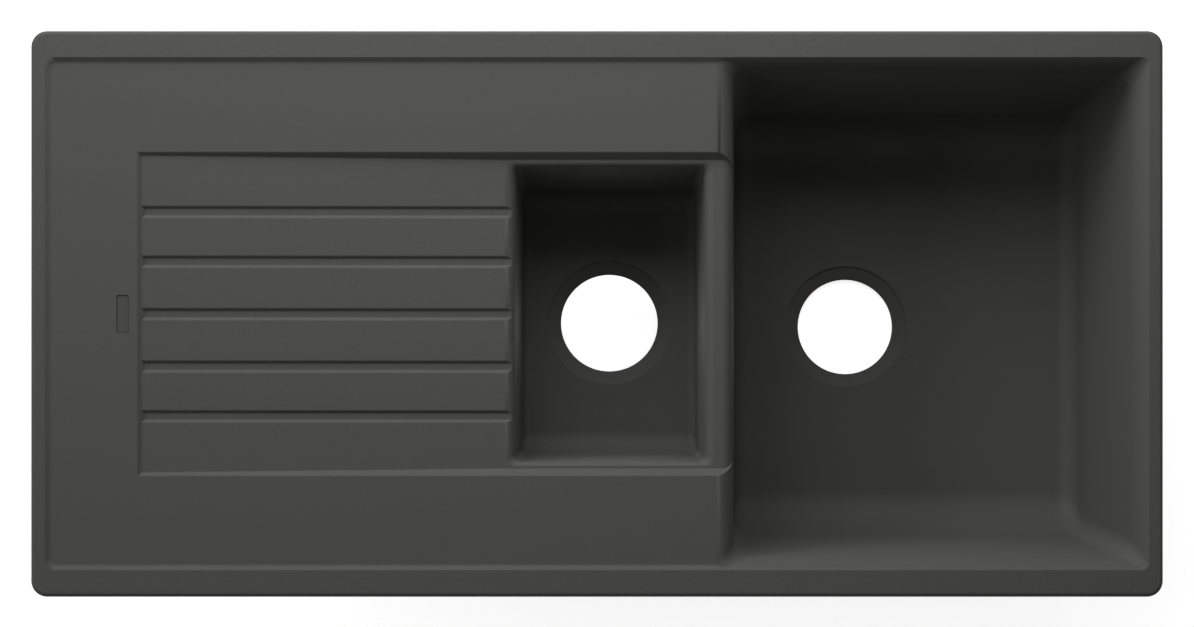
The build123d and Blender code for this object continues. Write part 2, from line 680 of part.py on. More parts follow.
os.makedirs("parts", exist_ok=True)
export(sink_body.part, "sink_body")
export(badge_plate.part, "badge_plate")
export(rim_seal.part, "rim_seal")
export(boss_inserts.part, "boss_inserts")
export(bracket_screws.part, "bracket_screws")
for clip_name, clip_plane in CLIPS.items():
    export(clip_bracket(clip_plane), f"clip_bracket_{clip_name}")
    export(clamp_screw(clip_plane), f"clamp_screw_{clip_name}")
    export(clamp_nut(clip_plane), f"clamp_nut_{clip_name}")
    export(claw(clip_plane), f"claw_{clip_name}")
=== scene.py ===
"""Looks of an inset kitchen sink with a drainer, a half bowl and a main bowl, in dark granite composite.

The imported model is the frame: the origin is the centre of the worktop's cut-out, +X points from the drainer
to the main bowl, +Y to the rear and +Z up. Sizes in the classes are in millimetres, and Blender works in
metres.
"""

import json
import logging
import math
from collections.abc import Callable, Sequence
from dataclasses import dataclass, field, replace
from enum import Enum

import bmesh
import bpy
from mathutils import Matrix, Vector

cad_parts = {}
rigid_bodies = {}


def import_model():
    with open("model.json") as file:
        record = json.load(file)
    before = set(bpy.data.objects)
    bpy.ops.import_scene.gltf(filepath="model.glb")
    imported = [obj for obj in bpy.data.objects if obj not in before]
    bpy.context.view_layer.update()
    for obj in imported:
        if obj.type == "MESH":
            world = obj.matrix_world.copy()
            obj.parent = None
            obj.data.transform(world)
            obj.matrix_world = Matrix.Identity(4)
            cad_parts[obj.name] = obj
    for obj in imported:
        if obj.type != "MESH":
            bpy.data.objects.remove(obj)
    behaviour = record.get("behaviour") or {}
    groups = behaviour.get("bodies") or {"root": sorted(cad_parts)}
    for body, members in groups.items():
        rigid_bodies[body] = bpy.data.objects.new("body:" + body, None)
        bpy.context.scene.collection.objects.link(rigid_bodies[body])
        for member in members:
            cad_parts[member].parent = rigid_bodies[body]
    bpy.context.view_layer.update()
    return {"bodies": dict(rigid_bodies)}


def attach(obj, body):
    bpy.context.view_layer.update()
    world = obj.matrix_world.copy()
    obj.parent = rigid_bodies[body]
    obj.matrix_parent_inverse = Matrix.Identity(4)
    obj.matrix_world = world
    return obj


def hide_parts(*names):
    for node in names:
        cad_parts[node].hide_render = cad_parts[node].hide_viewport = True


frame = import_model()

LOG = logging.getLogger("sink")
MM = 0.001
PHOTO_WIDTH = 1194

# Lengths in metres, below which points are one; and the angle in degrees from which an edge stays sharp
WELD = 0.00001
SLIVER = 0.000004
HAIR = 0.0000001
SHARP_FROM = 32.0

# A thread's depth and its start below the lower end, in turns; what is cut off past each end, in millimetres
THREAD_DEPTH = 0.6
THREAD_LEAD_IN = 2.837
THREAD_SPARE_TURNS = 6
THREAD_SPARE = 0.3

Point = tuple[float, float, float]
Pair = tuple[float, float]
Piece = bpy.types.Object
Material = bpy.types.Material
Socket = bpy.types.NodeSocket


class Cut(Enum):
    """How a tool changes a body."""

    REMOVE = "DIFFERENCE"
    ADD = "UNION"
    KEEP = "INTERSECT"


# --------------------------------------------------------------------------------------------------
# Modelling by hand: small steps on top of Blender's own operators
# --------------------------------------------------------------------------------------------------


def metres(*values: float) -> Point:
    """Turns millimetres into metres."""
    return tuple(value * MM for value in values)


def deselect() -> None:
    """Leaves edit mode and deselects every object."""
    if bpy.context.object and bpy.context.object.mode == "EDIT":
        bpy.ops.object.mode_set(mode="OBJECT")
    bpy.ops.object.select_all(action="DESELECT")


def activate(piece: Piece) -> None:
    """Makes one object the only selected and active one.

    Args:
        piece: The object to work on.
    """
    deselect()
    piece.select_set(True)
    bpy.context.view_layer.objects.active = piece


def edit(piece: Piece) -> None:
    """Opens an object in edit mode with nothing selected.

    Args:
        piece: The object to open.
    """
    activate(piece)
    bpy.ops.object.mode_set(mode="EDIT")
    bpy.ops.mesh.select_mode(type="VERT")
    bpy.ops.mesh.select_all(action="DESELECT")


def pick(piece: Piece, test: Callable[[Vector], bool]) -> None:
    """Selects the vertices in edit mode whose place passes a test, and the edges and faces between them.

    Args:
        piece: The object that is in edit mode.
        test: Tells from a vertex's place in millimetres whether it is selected.
    """
    bpy.ops.mesh.select_all(action="DESELECT")
    mesh = bmesh.from_edit_mesh(piece.data)
    for vertex in mesh.verts:
        vertex.select = test(vertex.co / MM)
    mesh.select_flush(True)
    bmesh.update_edit_mesh(piece.data)


def pick_edges(piece: Piece, test: Callable[[Vector, Vector], bool]) -> None:
    """Selects the edges in edit mode whose two ends pass a test.

    Args:
        piece: The object that is in edit mode.
        test: Tells from the places of an edge's ends, in millimetres, whether it is selected.
    """
    bpy.ops.mesh.select_mode(type="EDGE")
    bpy.ops.mesh.select_all(action="DESELECT")
    mesh = bmesh.from_edit_mesh(piece.data)
    for edge in mesh.edges:
        if test(edge.verts[0].co / MM, edge.verts[1].co / MM):
            edge.select = True
    bmesh.update_edit_mesh(piece.data)


def select_everything() -> None:
    """Selects the whole mesh in edit mode."""
    bpy.ops.mesh.select_all(action="SELECT")


def close(piece: Piece) -> None:
    """Leaves edit mode with doubles merged and every face pointing outwards.

    Args:
        piece: The object that is in edit mode.
    """
    select_everything()
    bpy.ops.mesh.remove_doubles(threshold=WELD)
    bpy.ops.mesh.normals_make_consistent(inside=False)
    bpy.ops.object.mode_set(mode="OBJECT")
    settle(piece)


def settle(piece: Piece) -> None:
    """Moves an object's place into its mesh, so that the object sits unturned at the origin."""
    activate(piece)
    bpy.ops.object.transform_apply(location=True, rotation=True, scale=True)


def sheet_of(name: str, corners: Sequence[Point], rounds: dict[int, tuple[float, int]]) -> Piece:
    """Draws a flat outline by pulling one vertex from corner to corner, rounds some corners and fills it.

    Args:
        name: The new object's name.
        corners: The outline's corners in millimetres, in order.
        rounds: For the number of a corner, how far its round reaches along the edges, and its segments.

    Returns:
        The object, in edit mode, with its one face selected.
    """
    piece = seed(name)
    bpy.ops.transform.translate(value=metres(*corners[0]))
    for start, end in zip(corners, corners[1:]):
        step = metres(*(b - a for a, b in zip(start, end)))
        bpy.ops.mesh.extrude_vertices_move(TRANSFORM_OT_translate={"value": step})
    select_everything()
    bpy.ops.mesh.edge_face_add()
    for number, (reach, segments) in rounds.items():
        place = Vector(corners[number])
        pick(piece, lambda at, place=place: (at - place).length < 0.01)
        bpy.ops.mesh.bevel(offset=reach * MM, segments=segments, affect="VERTICES")
    select_everything()
    return piece


def pull(step: Point) -> None:
    """Extrudes what is selected in edit mode by a step in millimetres."""
    bpy.ops.mesh.extrude_region_move(TRANSFORM_OT_translate={"value": metres(*step)})


def prism(
    name: str, corners: Sequence[Point], step: Point, rounds: dict[int, tuple[float, int]] | None = None
) -> Piece:
    """Makes a closed solid from a flat outline that is pulled straight.

    Args:
        name: The new object's name.
        corners: The outline's corners in millimetres.
        step: The way and the length of the pull, in millimetres.
        rounds: Rounds of the outline, as sheet_of takes them.

    Returns:
        The finished object, in object mode.
    """
    piece = sheet_of(name, corners, rounds or {})
    pull(step)
    close(piece)
    return piece


def rectangle(centre: Pair, size: Pair, z: float) -> list[Point]:
    """The corners of a level rectangle, anticlockwise from its lowest X and Y."""
    (x, y), (long, wide) = centre, (size[0] / 2, size[1] / 2)
    return [(x + right * long, y + rear * wide, z) for right, rear in ((-1, -1), (1, -1), (1, 1), (-1, 1))]


def slab(
    name: str, centre: Pair, size: Pair, low: float, high: float, corner: float, segments: int = 10
) -> Piece:
    """Makes an upright slab with rounded corners.

    Args:
        name: The new object's name.
        centre: Its middle in X and Y.
        size: Its length in X and Y.
        low: Its underside's height.
        high: Its top's height.
        corner: The radius of its corners.
        segments: Faces in each round.

    Returns:
        The finished object, in object mode.
    """
    rounds = {number: (corner, segments) for number in range(4)}
    return prism(name, rectangle(centre, size, low), (0, 0, high - low), rounds)


def modify(piece: Piece, kind: str, **settings: object) -> None:
    """Adds a modifier to a piece and applies it.

    Args:
        piece: The piece.
        kind: The modifier's type.
        **settings: Its settings.
    """
    activate(piece)
    bpy.ops.object.modifier_add(type=kind)
    modifier = piece.modifiers[-1]
    for name, value in settings.items():
        setattr(modifier, name, value)
    bpy.ops.object.modifier_apply(modifier=modifier.name)


def apply(body: Piece, tool: Piece, cut: Cut) -> None:
    """Changes a body by a tool, as the cut says, and deletes the tool."""
    modify(body, "BOOLEAN", operation=cut.value, solver="EXACT", object=tool)
    bpy.data.objects.remove(tool)


def ring_edges(piece: Piece, outline: Sequence[Pair], closed: bool) -> None:
    """Draws a half outline of radius and height as edges, pulled from point to point.

    Args:
        piece: An object in edit mode with one selected vertex at the origin. Not used: the operators work on
            the object that is in edit mode.
        outline: Radius and height of each point, in millimetres.
        closed: Whether the last point is joined to the first.
    """
    radius, height = outline[0]
    bpy.ops.transform.translate(value=metres(radius, 0, height))
    for (r, z), (next_r, next_z) in zip(outline, outline[1:]):
        step = metres(next_r - r, 0, next_z - z)
        bpy.ops.mesh.extrude_vertices_move(TRANSFORM_OT_translate={"value": step})
    if closed:
        select_everything()
        bpy.ops.mesh.edge_face_add()
        bpy.ops.mesh.delete(type="ONLY_FACE")


def seed(name: str) -> Piece:
    """Adds a small plane and merges it into one selected vertex at the origin, ready to be pulled.

    Args:
        name: The new object's name.

    Returns:
        The object, in edit mode.
    """
    deselect()
    bpy.ops.mesh.primitive_plane_add(size=MM, location=(0, 0, 0))
    piece = bpy.context.object
    piece.name = name
    edit(piece)
    select_everything()
    bpy.ops.mesh.merge(type="CENTER")
    return piece


def turned(
    name: str, outline: Sequence[Pair], segments: int = 32, ring: bool = False
) -> Piece:
    """Turns a half outline round the Z axis, as on a lathe.

    Args:
        name: The new object's name.
        outline: Radius and height of each point: from axis to axis, or all round a ring's section.
        segments: Faces round the axis.
        ring: Whether the outline is a closed section of a ring.

    Returns:
        The closed solid, in object mode.
    """
    piece = seed(name)
    ring_edges(piece, outline, ring)
    select_everything()
    bpy.ops.mesh.spin(steps=segments, angle=2 * math.pi, center=(0, 0, 0), axis=(0, 0, 1))
    close(piece)
    return piece


def bore(radius: float, low: float, high: float, ease: float) -> Piece:
    """The tool of a round hole on the Z axis, eased at both ends.

    Args:
        radius: The hole's radius.
        low: Its lower end.
        high: Its upper end.
        ease: The width of the eased edges.

    Returns:
        The tool.
    """
    wide = radius + ease + 1
    rising = [(0, low - 1), (wide, low - 1), (radius, low + ease)]
    return turned("bore", [*rising, (radius, high - ease), (wide, high + 1), (0, high + 1)])


def stepped(name: str, x: float, y: float, rings: Sequence[Pair], segments: int = 48) -> Piece:
    """Makes an upright round tool, pulled from ring to ring.

    Args:
        name: The new object's name.
        x: Its axis in X.
        y: Its axis in Y.
        rings: Radius and height of each ring, in the order that they are pulled.
        segments: Faces round the axis.

    Returns:
        The tool.
    """
    radius, z = rings[0]
    deselect()
    bpy.ops.mesh.primitive_circle_add(
        vertices=segments, radius=radius * MM, fill_type="NGON", location=metres(x, y, z)
    )
    piece = bpy.context.object
    piece.name = name
    settle(piece)
    edit(piece)
    select_everything()
    for (radius, z), (next_radius, next_z) in zip(rings, rings[1:]):
        pull((0, 0, next_z - z))
        scale = next_radius / radius
        bpy.ops.transform.resize(value=(scale, scale, 1), center_override=metres(x, y, next_z))
    close(piece)
    return piece


def shift(piece: Piece, x: float, y: float, turn: float = 0.0) -> Piece:
    """Turns a piece about the Z axis, moves it, and applies both to its mesh.

    Args:
        piece: The piece.
        x: How far it moves in X.
        y: How far it moves in Y.
        turn: How far it turns first, in degrees.

    Returns:
        The same piece.
    """
    piece.rotation_euler = (0, 0, math.radians(turn))
    piece.location = metres(x, y, 0)
    settle(piece)
    return piece


def thread(
    name: str, radius: float, pitch: float, low: float, high: float, segments: int = 20,
    left_hand: bool = False,
) -> Piece:
    """Cuts a screw thread on the Z axis: one turn's outline, run round and up, and chamfered at both ends.

    Args:
        name: The new object's name.
        radius: The radius over the crests.
        pitch: The rise of one turn.
        low: The lower end.
        high: The upper end.
        segments: Faces in one turn.
        left_hand: Whether it climbs the other way round.

    Returns:
        The closed solid.
    """
    root = radius - THREAD_DEPTH * pitch
    piece = seed(name)
    start = low - THREAD_LEAD_IN * pitch
    outline = [(root, 0), (radius, 0.38), (radius, 0.5), (root, 0.88), (root, 1)]
    ring_edges(piece, [(r, start + share * pitch) for r, share in outline], False)
    turns = math.ceil((high - low) / pitch) + THREAD_SPARE_TURNS
    modify(
        piece, "SCREW", angle=2 * math.pi * (-1 if left_hand else 1), screw_offset=pitch * MM,
        iterations=turns, steps=segments, render_steps=segments,
    )
    edit(piece)
    select_everything()
    bpy.ops.mesh.remove_doubles(threshold=WELD)
    for height, down in ((low - THREAD_SPARE, -1), (high + THREAD_SPARE, 1)):
        select_everything()
        bpy.ops.mesh.bisect(
            plane_co=metres(0, 0, height), plane_no=(0, 0, down), use_fill=True, clear_outer=True,
            threshold=HAIR,
        )
    close(piece)
    narrow, wide = root - 0.05, radius + 0.15
    chamfer = wide - narrow
    ends = turned(
        "thread_ends",
        [(0, low), (narrow, low), (wide, low + chamfer), (wide, high - chamfer), (narrow, high), (0, high)],
        segments + 3,
    )
    apply(piece, ends, Cut.KEEP)
    return piece


def cross_slot(length: float, width: float, depth: float, low: float) -> Piece:
    """The tool of a cross recess that narrows into a head from below.

    Args:
        length: The length of each slot.
        width: Its width.
        depth: How deep the recess goes.
        low: The height of the head's lowest point.

    Returns:
        The tool.
    """
    reach, half = length / 2, width / 2
    quarter = [(half, reach), (half, half), (reach, half), (reach, -half)]
    outline = []
    for _ in range(4):
        outline += quarter[:3]
        quarter = [(y, -x) for x, y in quarter]
    piece = sheet_of("cross_slot", [(x, y, low - 0.2) for x, y in outline], {})
    pull((0, 0, depth + 0.2))
    bpy.ops.transform.resize(value=(0.62, 0.62, 1), center_override=metres(0, 0, low + depth))
    close(piece)
    return piece


def ease_edges(piece: Piece, width: float, angle: float = 40.0) -> None:
    """Rounds every edge that is sharper than an angle.

    Args:
        piece: The piece.
        width: How far the round reaches from the edge.
        angle: The least angle between the faces, in degrees.
    """
    edit(piece)
    select_everything()
    bpy.ops.mesh.dissolve_limited(angle_limit=math.radians(1))
    limit = math.radians(angle)
    modify(piece, "BEVEL", width=width * MM, segments=2, limit_method="ANGLE", angle_limit=limit)


def copies(master: Piece, count: int) -> list[Piece]:
    """Copies a piece, each copy with its own mesh, and deletes the first.

    Args:
        master: The piece, in the place that it is copied from.
        count: How many copies.

    Returns:
        The copies.
    """
    made = []
    for _ in range(count):
        activate(master)
        bpy.ops.object.duplicate()
        made.append(bpy.context.object)
    bpy.data.objects.remove(master)
    return made


# --------------------------------------------------------------------------------------------------
# Finishes
# --------------------------------------------------------------------------------------------------


def linear(hex_colour: str) -> tuple[float, float, float, float]:
    """Turns an sRGB hex value into the linear colour that a shader takes.

    Args:
        hex_colour: Such as "54534f".

    Returns:
        Linear red, green and blue, and an alpha of 1.
    """
    channels = [int(hex_colour[at : at + 2], 16) / 255 for at in (0, 2, 4)]
    return (*(c / 12.92 if c <= 0.04045 else ((c + 0.055) / 1.055) ** 2.4 for c in channels), 1.0)


def put(
    owner: bpy.types.ID, kind: str, settings: dict | None = None, links: dict | None = None
) -> bpy.types.Node:
    """Adds one node with its settings and its incoming links.

    Args:
        owner: The material or world whose tree gets the node.
        kind: The node's type, without the prefix that all shader nodes share.
        settings: Node attributes, or input values where the key names an input.
        links: For an input, the output socket that feeds it.

    Returns:
        The new node.
    """
    node = owner.node_tree.nodes.new(f"ShaderNode{kind}")
    for key, value in (settings or {}).items():
        if isinstance(key, int) or key in node.inputs:
            node.inputs[key].default_value = value
        else:
            setattr(node, key, value)
    for key, socket in (links or {}).items():
        owner.node_tree.links.new(socket, node.inputs[key])
    return node


def fresh(made: bpy.types.ID) -> bpy.types.ID:
    """Empties the node tree of a new material or world.

    Args:
        made: The material or world.

    Returns:
        The same one.
    """
    made.use_nodes = True
    made.node_tree.nodes.clear()
    return made


def texture(made: Material, kind: str, size: float, **settings: float | str) -> bpy.types.Node:
    """Adds a texture that is drawn in the piece's own space.

    Args:
        made: The material.
        kind: The texture node's type, without its prefix.
        size: The size of its pattern, in millimetres.
        **settings: Other settings of the node.

    Returns:
        The node.
    """
    place = put(made, "TexCoord").outputs["Object"]
    return put(made, f"Tex{kind}", {"Scale": 1 / (size * MM), **settings}, {"Vector": place})


def spread_of(made: Material, source: Socket, inputs: Pair, outputs: Pair) -> Socket:
    """Adds a node that maps one range of values onto another, and gives its result."""
    (low, high), (first, last) = inputs, outputs
    ranges = {"From Min": low, "From Max": high, "To Min": first, "To Max": last}
    return put(made, "MapRange", ranges, {"Value": source}).outputs[0]


def ramp(made: Material, source: Socket, stops: dict[float, str]) -> Socket:
    """Adds a colour ramp.

    Args:
        made: The material.
        source: The output socket that it reads.
        stops: The sRGB hex colour at each position.

    Returns:
        The ramp's colour output.
    """
    node = put(made, "ValToRGB", links={0: source})
    while len(node.color_ramp.elements) < len(stops):
        node.color_ramp.elements.new(0.5)
    for element, (position, colour) in zip(node.color_ramp.elements, stops.items()):
        element.position = position
        element.color = linear(colour)
    return node.outputs[0]


def coat(
    made: Material, tone: Socket, height: Socket, strength: float, depth: float,
    settings: dict[str, float], dull: Socket | None = None,
) -> Material:
    """Ends a material with its surface shader, bumped by a texture.

    Args:
        made: The material.
        tone: The socket of its colour.
        height: The socket of the texture that bumps it.
        strength: How strong the bump is.
        depth: The bump's depth, in millimetres.
        settings: Values of the shader.
        dull: The socket of its roughness, where that varies.

    Returns:
        The same material, finished.
    """
    bump = put(made, "Bump", {"Strength": strength, "Distance": depth * MM}, {"Height": height}).outputs[0]
    links = {"Base Color": tone, "Normal": bump} | ({"Roughness": dull} if dull else {})
    shader = put(made, "BsdfPrincipled", settings, links).outputs[0]
    put(made, "OutputMaterial", links={"Surface": shader})
    return made


def looked_at(owner: bpy.types.ID) -> Socket:
    """Adds nodes that give 1 for what the camera, gloss and glass see, and 0 for what only lights the scene.

    Args:
        owner: The material or world.

    Returns:
        The socket.
    """
    rays = put(owner, "LightPath").outputs
    largest = {"operation": "MAXIMUM"}
    direct = put(owner, "Math", largest, {0: rays["Is Camera Ray"], 1: rays["Is Transmission Ray"]})
    return put(owner, "Math", largest, {0: direct.outputs[0], 1: rays["Is Glossy Ray"]}).outputs[0]


@dataclass(frozen=True)
class GraniteComposite:
    """Quartz sand cast in dark acrylic resin, as cast: a fine stony grain with a dull satin shine.

    The real sand has grains of 0.1 to 0.6 mm. The finest are too small to show, so they are drawn at 0.7 mm.
    """

    base: str = "565653"
    dark: str = "525250"
    light: str = "5a5a57"
    fleck: str = "636360"
    grain_mm: float = 0.7
    fleck_mm: float = 1.9
    cloud_mm: float = 60.0
    dull: Pair = (0.54, 0.63)
    specular: float = 0.10
    bump_mm: float = 0.03

    def build(self) -> Material:
        """Makes the material.

        Returns:
            The finished material.
        """
        made = fresh(bpy.data.materials.new("granite_composite_anthracite"))
        grain = texture(made, "Noise", self.grain_mm, Detail=2.0, Roughness=0.6).outputs["Fac"]
        tone = ramp(made, grain, {0.34: self.dark, 0.5: self.base, 0.68: self.light})
        flecks = texture(made, "Voronoi", self.fleck_mm, feature="F1", Randomness=1.0).outputs["Distance"]
        spot = spread_of(made, flecks, (0.10, 0.26), (0.5, 0.0))
        blend = {"data_type": "RGBA", "blend_type": "MIX", 7: linear(self.fleck)}
        mixed = put(made, "Mix", blend, {0: spot, 6: tone}).outputs[2]
        cloud = texture(made, "Noise", self.cloud_mm, Detail=3.0, Roughness=0.5).outputs["Fac"]
        dull = spread_of(made, cloud, (0.3, 0.7), self.dull)
        shine = {"IOR": 1.5, "Specular IOR Level": self.specular}
        return coat(made, mixed, grain, 0.35, self.bump_mm, shine, dull)


@dataclass(frozen=True)
class BadgeEnamel:
    """Thin aluminium plate, stove-enamelled in the sink's tone: finer and smoother than the stone."""

    base: str = "4f4f4d"
    light: str = "545451"
    grain_mm: float = 0.5
    roughness: float = 0.42

    def build(self) -> Material:
        """Makes the material.

        Returns:
            The finished material.
        """
        made = fresh(bpy.data.materials.new("stove_enamel_anthracite"))
        orange_peel = texture(made, "Noise", self.grain_mm, Detail=1.0).outputs["Fac"]
        tone = ramp(made, orange_peel, {0.35: self.base, 0.7: self.light})
        shine = {"Roughness": self.roughness, "IOR": 1.5, "Specular IOR Level": 0.1}
        return coat(made, tone, orange_peel, 0.2, 0.02, shine)


@dataclass(frozen=True)
class ZincPlatedSteel:
    """Cold-rolled steel, bright zinc plated and blue passivated: silvery with faint iridescent spangle."""

    base: str = "b4b7b9"
    blue: str = "a6aeb8"
    warm: str = "bcb6a6"
    spangle_mm: float = 2.4
    scratch_mm: float = 0.25
    dull: Pair = (0.27, 0.44)

    def build(self) -> Material:
        """Makes the material.

        Returns:
            The finished material.
        """
        made = fresh(bpy.data.materials.new("zinc_plated_steel"))
        spangle = texture(made, "Noise", self.spangle_mm, Detail=3.0, Roughness=0.55).outputs["Fac"]
        tone = ramp(made, spangle, {0.32: self.blue, 0.5: self.base, 0.66: self.warm})
        fine = texture(made, "Noise", self.scratch_mm, Detail=2.0).outputs["Fac"]
        dull = spread_of(made, spangle, (0.3, 0.7), self.dull)
        return coat(made, tone, fine, 0.25, 0.01, {"Metallic": 1.0}, dull)


@dataclass(frozen=True)
class TurnedBrass:
    """Free-cutting brass, turned on a lathe: fine rings round each insert's upright axis."""

    base: str = "b98f45"
    dark: str = "93702f"
    ring_mm: float = 0.3
    roughness: float = 0.3

    def build(self) -> Material:
        """Makes the material.

        Returns:
            The finished material.
        """
        made = fresh(bpy.data.materials.new("turned_brass"))
        bands = {"wave_type": "BANDS", "bands_direction": "Z", "Distortion": 0.4}
        rings = texture(made, "Wave", self.ring_mm / 0.3, **bands).outputs["Fac"]
        tone = ramp(made, rings, {0.1: self.dark, 0.6: self.base})
        return coat(made, tone, rings, 0.3, 0.02, {"Metallic": 1.0, "Roughness": self.roughness})


@dataclass(frozen=True)
class FoamSeal:
    """Closed-cell polyethylene foam strip, skived: matt dark grey with open cells of about 0.6 mm."""

    base: str = "2c2c2b"
    light: str = "3a3a39"
    cell_mm: float = 0.6
    roughness: float = 0.92

    def build(self) -> Material:
        """Makes the material.

        Returns:
            The finished material.
        """
        made = fresh(bpy.data.materials.new("closed_cell_foam"))
        cells = texture(made, "Voronoi", self.cell_mm, feature="F1").outputs["Distance"]
        tone = ramp(made, cells, {0.1: self.base, 0.7: self.light})
        shine = {"Roughness": self.roughness, "IOR": 1.5, "Specular IOR Level": 0.2}
        return coat(made, tone, cells, 0.6, 0.1, shine)


@dataclass(frozen=True)
class StudioFloor:
    """Matt white studio floor. The camera sees it lifted to white, with the object's shadow left on it."""

    colour: str = "f4f4f4"
    lift: float = 0.86

    def build(self) -> Material:
        """Makes the material.

        Returns:
            The finished material.
        """
        made = fresh(bpy.data.materials.new("studio_floor"))
        paint = put(made, "BsdfDiffuse", {"Color": linear(self.colour)}).outputs[0]
        strength = put(made, "Math", {"operation": "MULTIPLY", 1: self.lift}, {0: looked_at(made)}).outputs[0]
        glow = put(made, "Emission", {"Color": (1, 1, 1, 1)}, {"Strength": strength}).outputs[0]
        both = put(made, "AddShader", links={0: paint, 1: glow}).outputs[0]
        put(made, "OutputMaterial", links={"Surface": both})
        return made


# --------------------------------------------------------------------------------------------------
# The sink body
# --------------------------------------------------------------------------------------------------


@dataclass(frozen=True)
class ClipPlace:
    """Where one clip's screw stands, and how far the clip is turned from one that faces the rear."""

    name: str
    x: float
    y: float
    turn: float

    def spot(self, along: float, outwards: float) -> Pair:
        """A point at a distance along the rim and at another towards it."""
        run, rise = math.cos(math.radians(self.turn)), math.sin(math.radians(self.turn))
        return self.x + along * run - outwards * rise, self.y + along * rise + outwards * run


CLIP_XS = (-400.0, -130.0, 170.0, 400.0)
CLIP_YS = (-130.0, 130.0)
CLIP_PLACES = [
    *(ClipPlace(f"rear_{n}", x, 231.3, 0.0) for n, x in enumerate(CLIP_XS, start=1)),
    *(ClipPlace(f"front_{n}", x, -231.3, 180.0) for n, x in enumerate(CLIP_XS, start=1)),
    *(ClipPlace(f"left_{n}", -481.3, y, 90.0) for n, y in enumerate(CLIP_YS, start=1)),
]


@dataclass(frozen=True)
class Side:
    """One side of a bowl: a rounded lip, a leaning wall and a round into the floor."""

    top: float
    floor: float
    lip: float
    draft: float
    floor_round: float
    lip_slope: float = 0.0

    def lip_arc(self) -> Pair:
        """The lip's radius and height."""
        start, wall = math.radians(self.lip_slope), math.radians(90 - self.draft)
        radius = self.lip / (math.sin(wall) - math.sin(start))
        return radius, radius * (math.cos(start) - math.cos(wall))

    def wall_inset(self, z: float) -> float:
        """How far the wall's plane lies inside the lip's outer edge at a height."""
        return self.lip + (self.top - self.lip_arc()[1] - z) * math.tan(math.radians(self.draft))

    def inset(self, z: float) -> float:
        """How far the surface lies inside the lip's outer edge at a height.

        Args:
            z: The height.

        Returns:
            The distance.
        """
        radius, lip_height = self.lip_arc()
        start, draft = math.radians(self.lip_slope), math.radians(self.draft)
        drop = max(0.0, self.top - z)
        if drop < lip_height:
            slope = math.acos(math.cos(start) - drop / radius)
            return radius * (math.sin(slope) - math.sin(start))
        round_top = self.floor + self.floor_round * (1 - math.sin(draft))
        if z >= round_top:
            return self.wall_inset(z)
        slope = math.asin(min(1.0, 1 - (z - self.floor) / self.floor_round))
        return self.wall_inset(round_top) + self.floor_round * (math.cos(draft) - math.cos(slope))

    def heights(self, steps: int) -> list[float]:
        """Heights that cut the lip and the floor's round into even steps.

        Args:
            steps: How many steps for each.

        Returns:
            The heights, in no order.
        """
        radius, _ = self.lip_arc()
        start, wall = math.radians(self.lip_slope), math.radians(90 - self.draft)
        draft = math.radians(self.draft)
        found = [self.top, self.floor]
        for step in range(1, steps + 1):
            slope = start + (wall - start) * step / steps
            found.append(self.top - radius * (math.cos(start) - math.cos(slope)))
            turn = draft + (math.pi / 2 - draft) * (step - 1) / steps
            found.append(self.floor + self.floor_round * (1 - math.sin(turn)))
        return found

    def outside(self, wall: float, floor: float) -> tuple[float, "Side"]:
        """The outside of this side's wall.

        Args:
            wall: The wall's thickness.
            floor: The floor's thickness.

        Returns:
            How far its top lies inside the lip's outer edge, and the side.
        """
        side = Side(self.top, self.floor - floor, 0.0, self.draft, self.floor_round + wall)
        return self.wall_inset(self.top) - wall, side


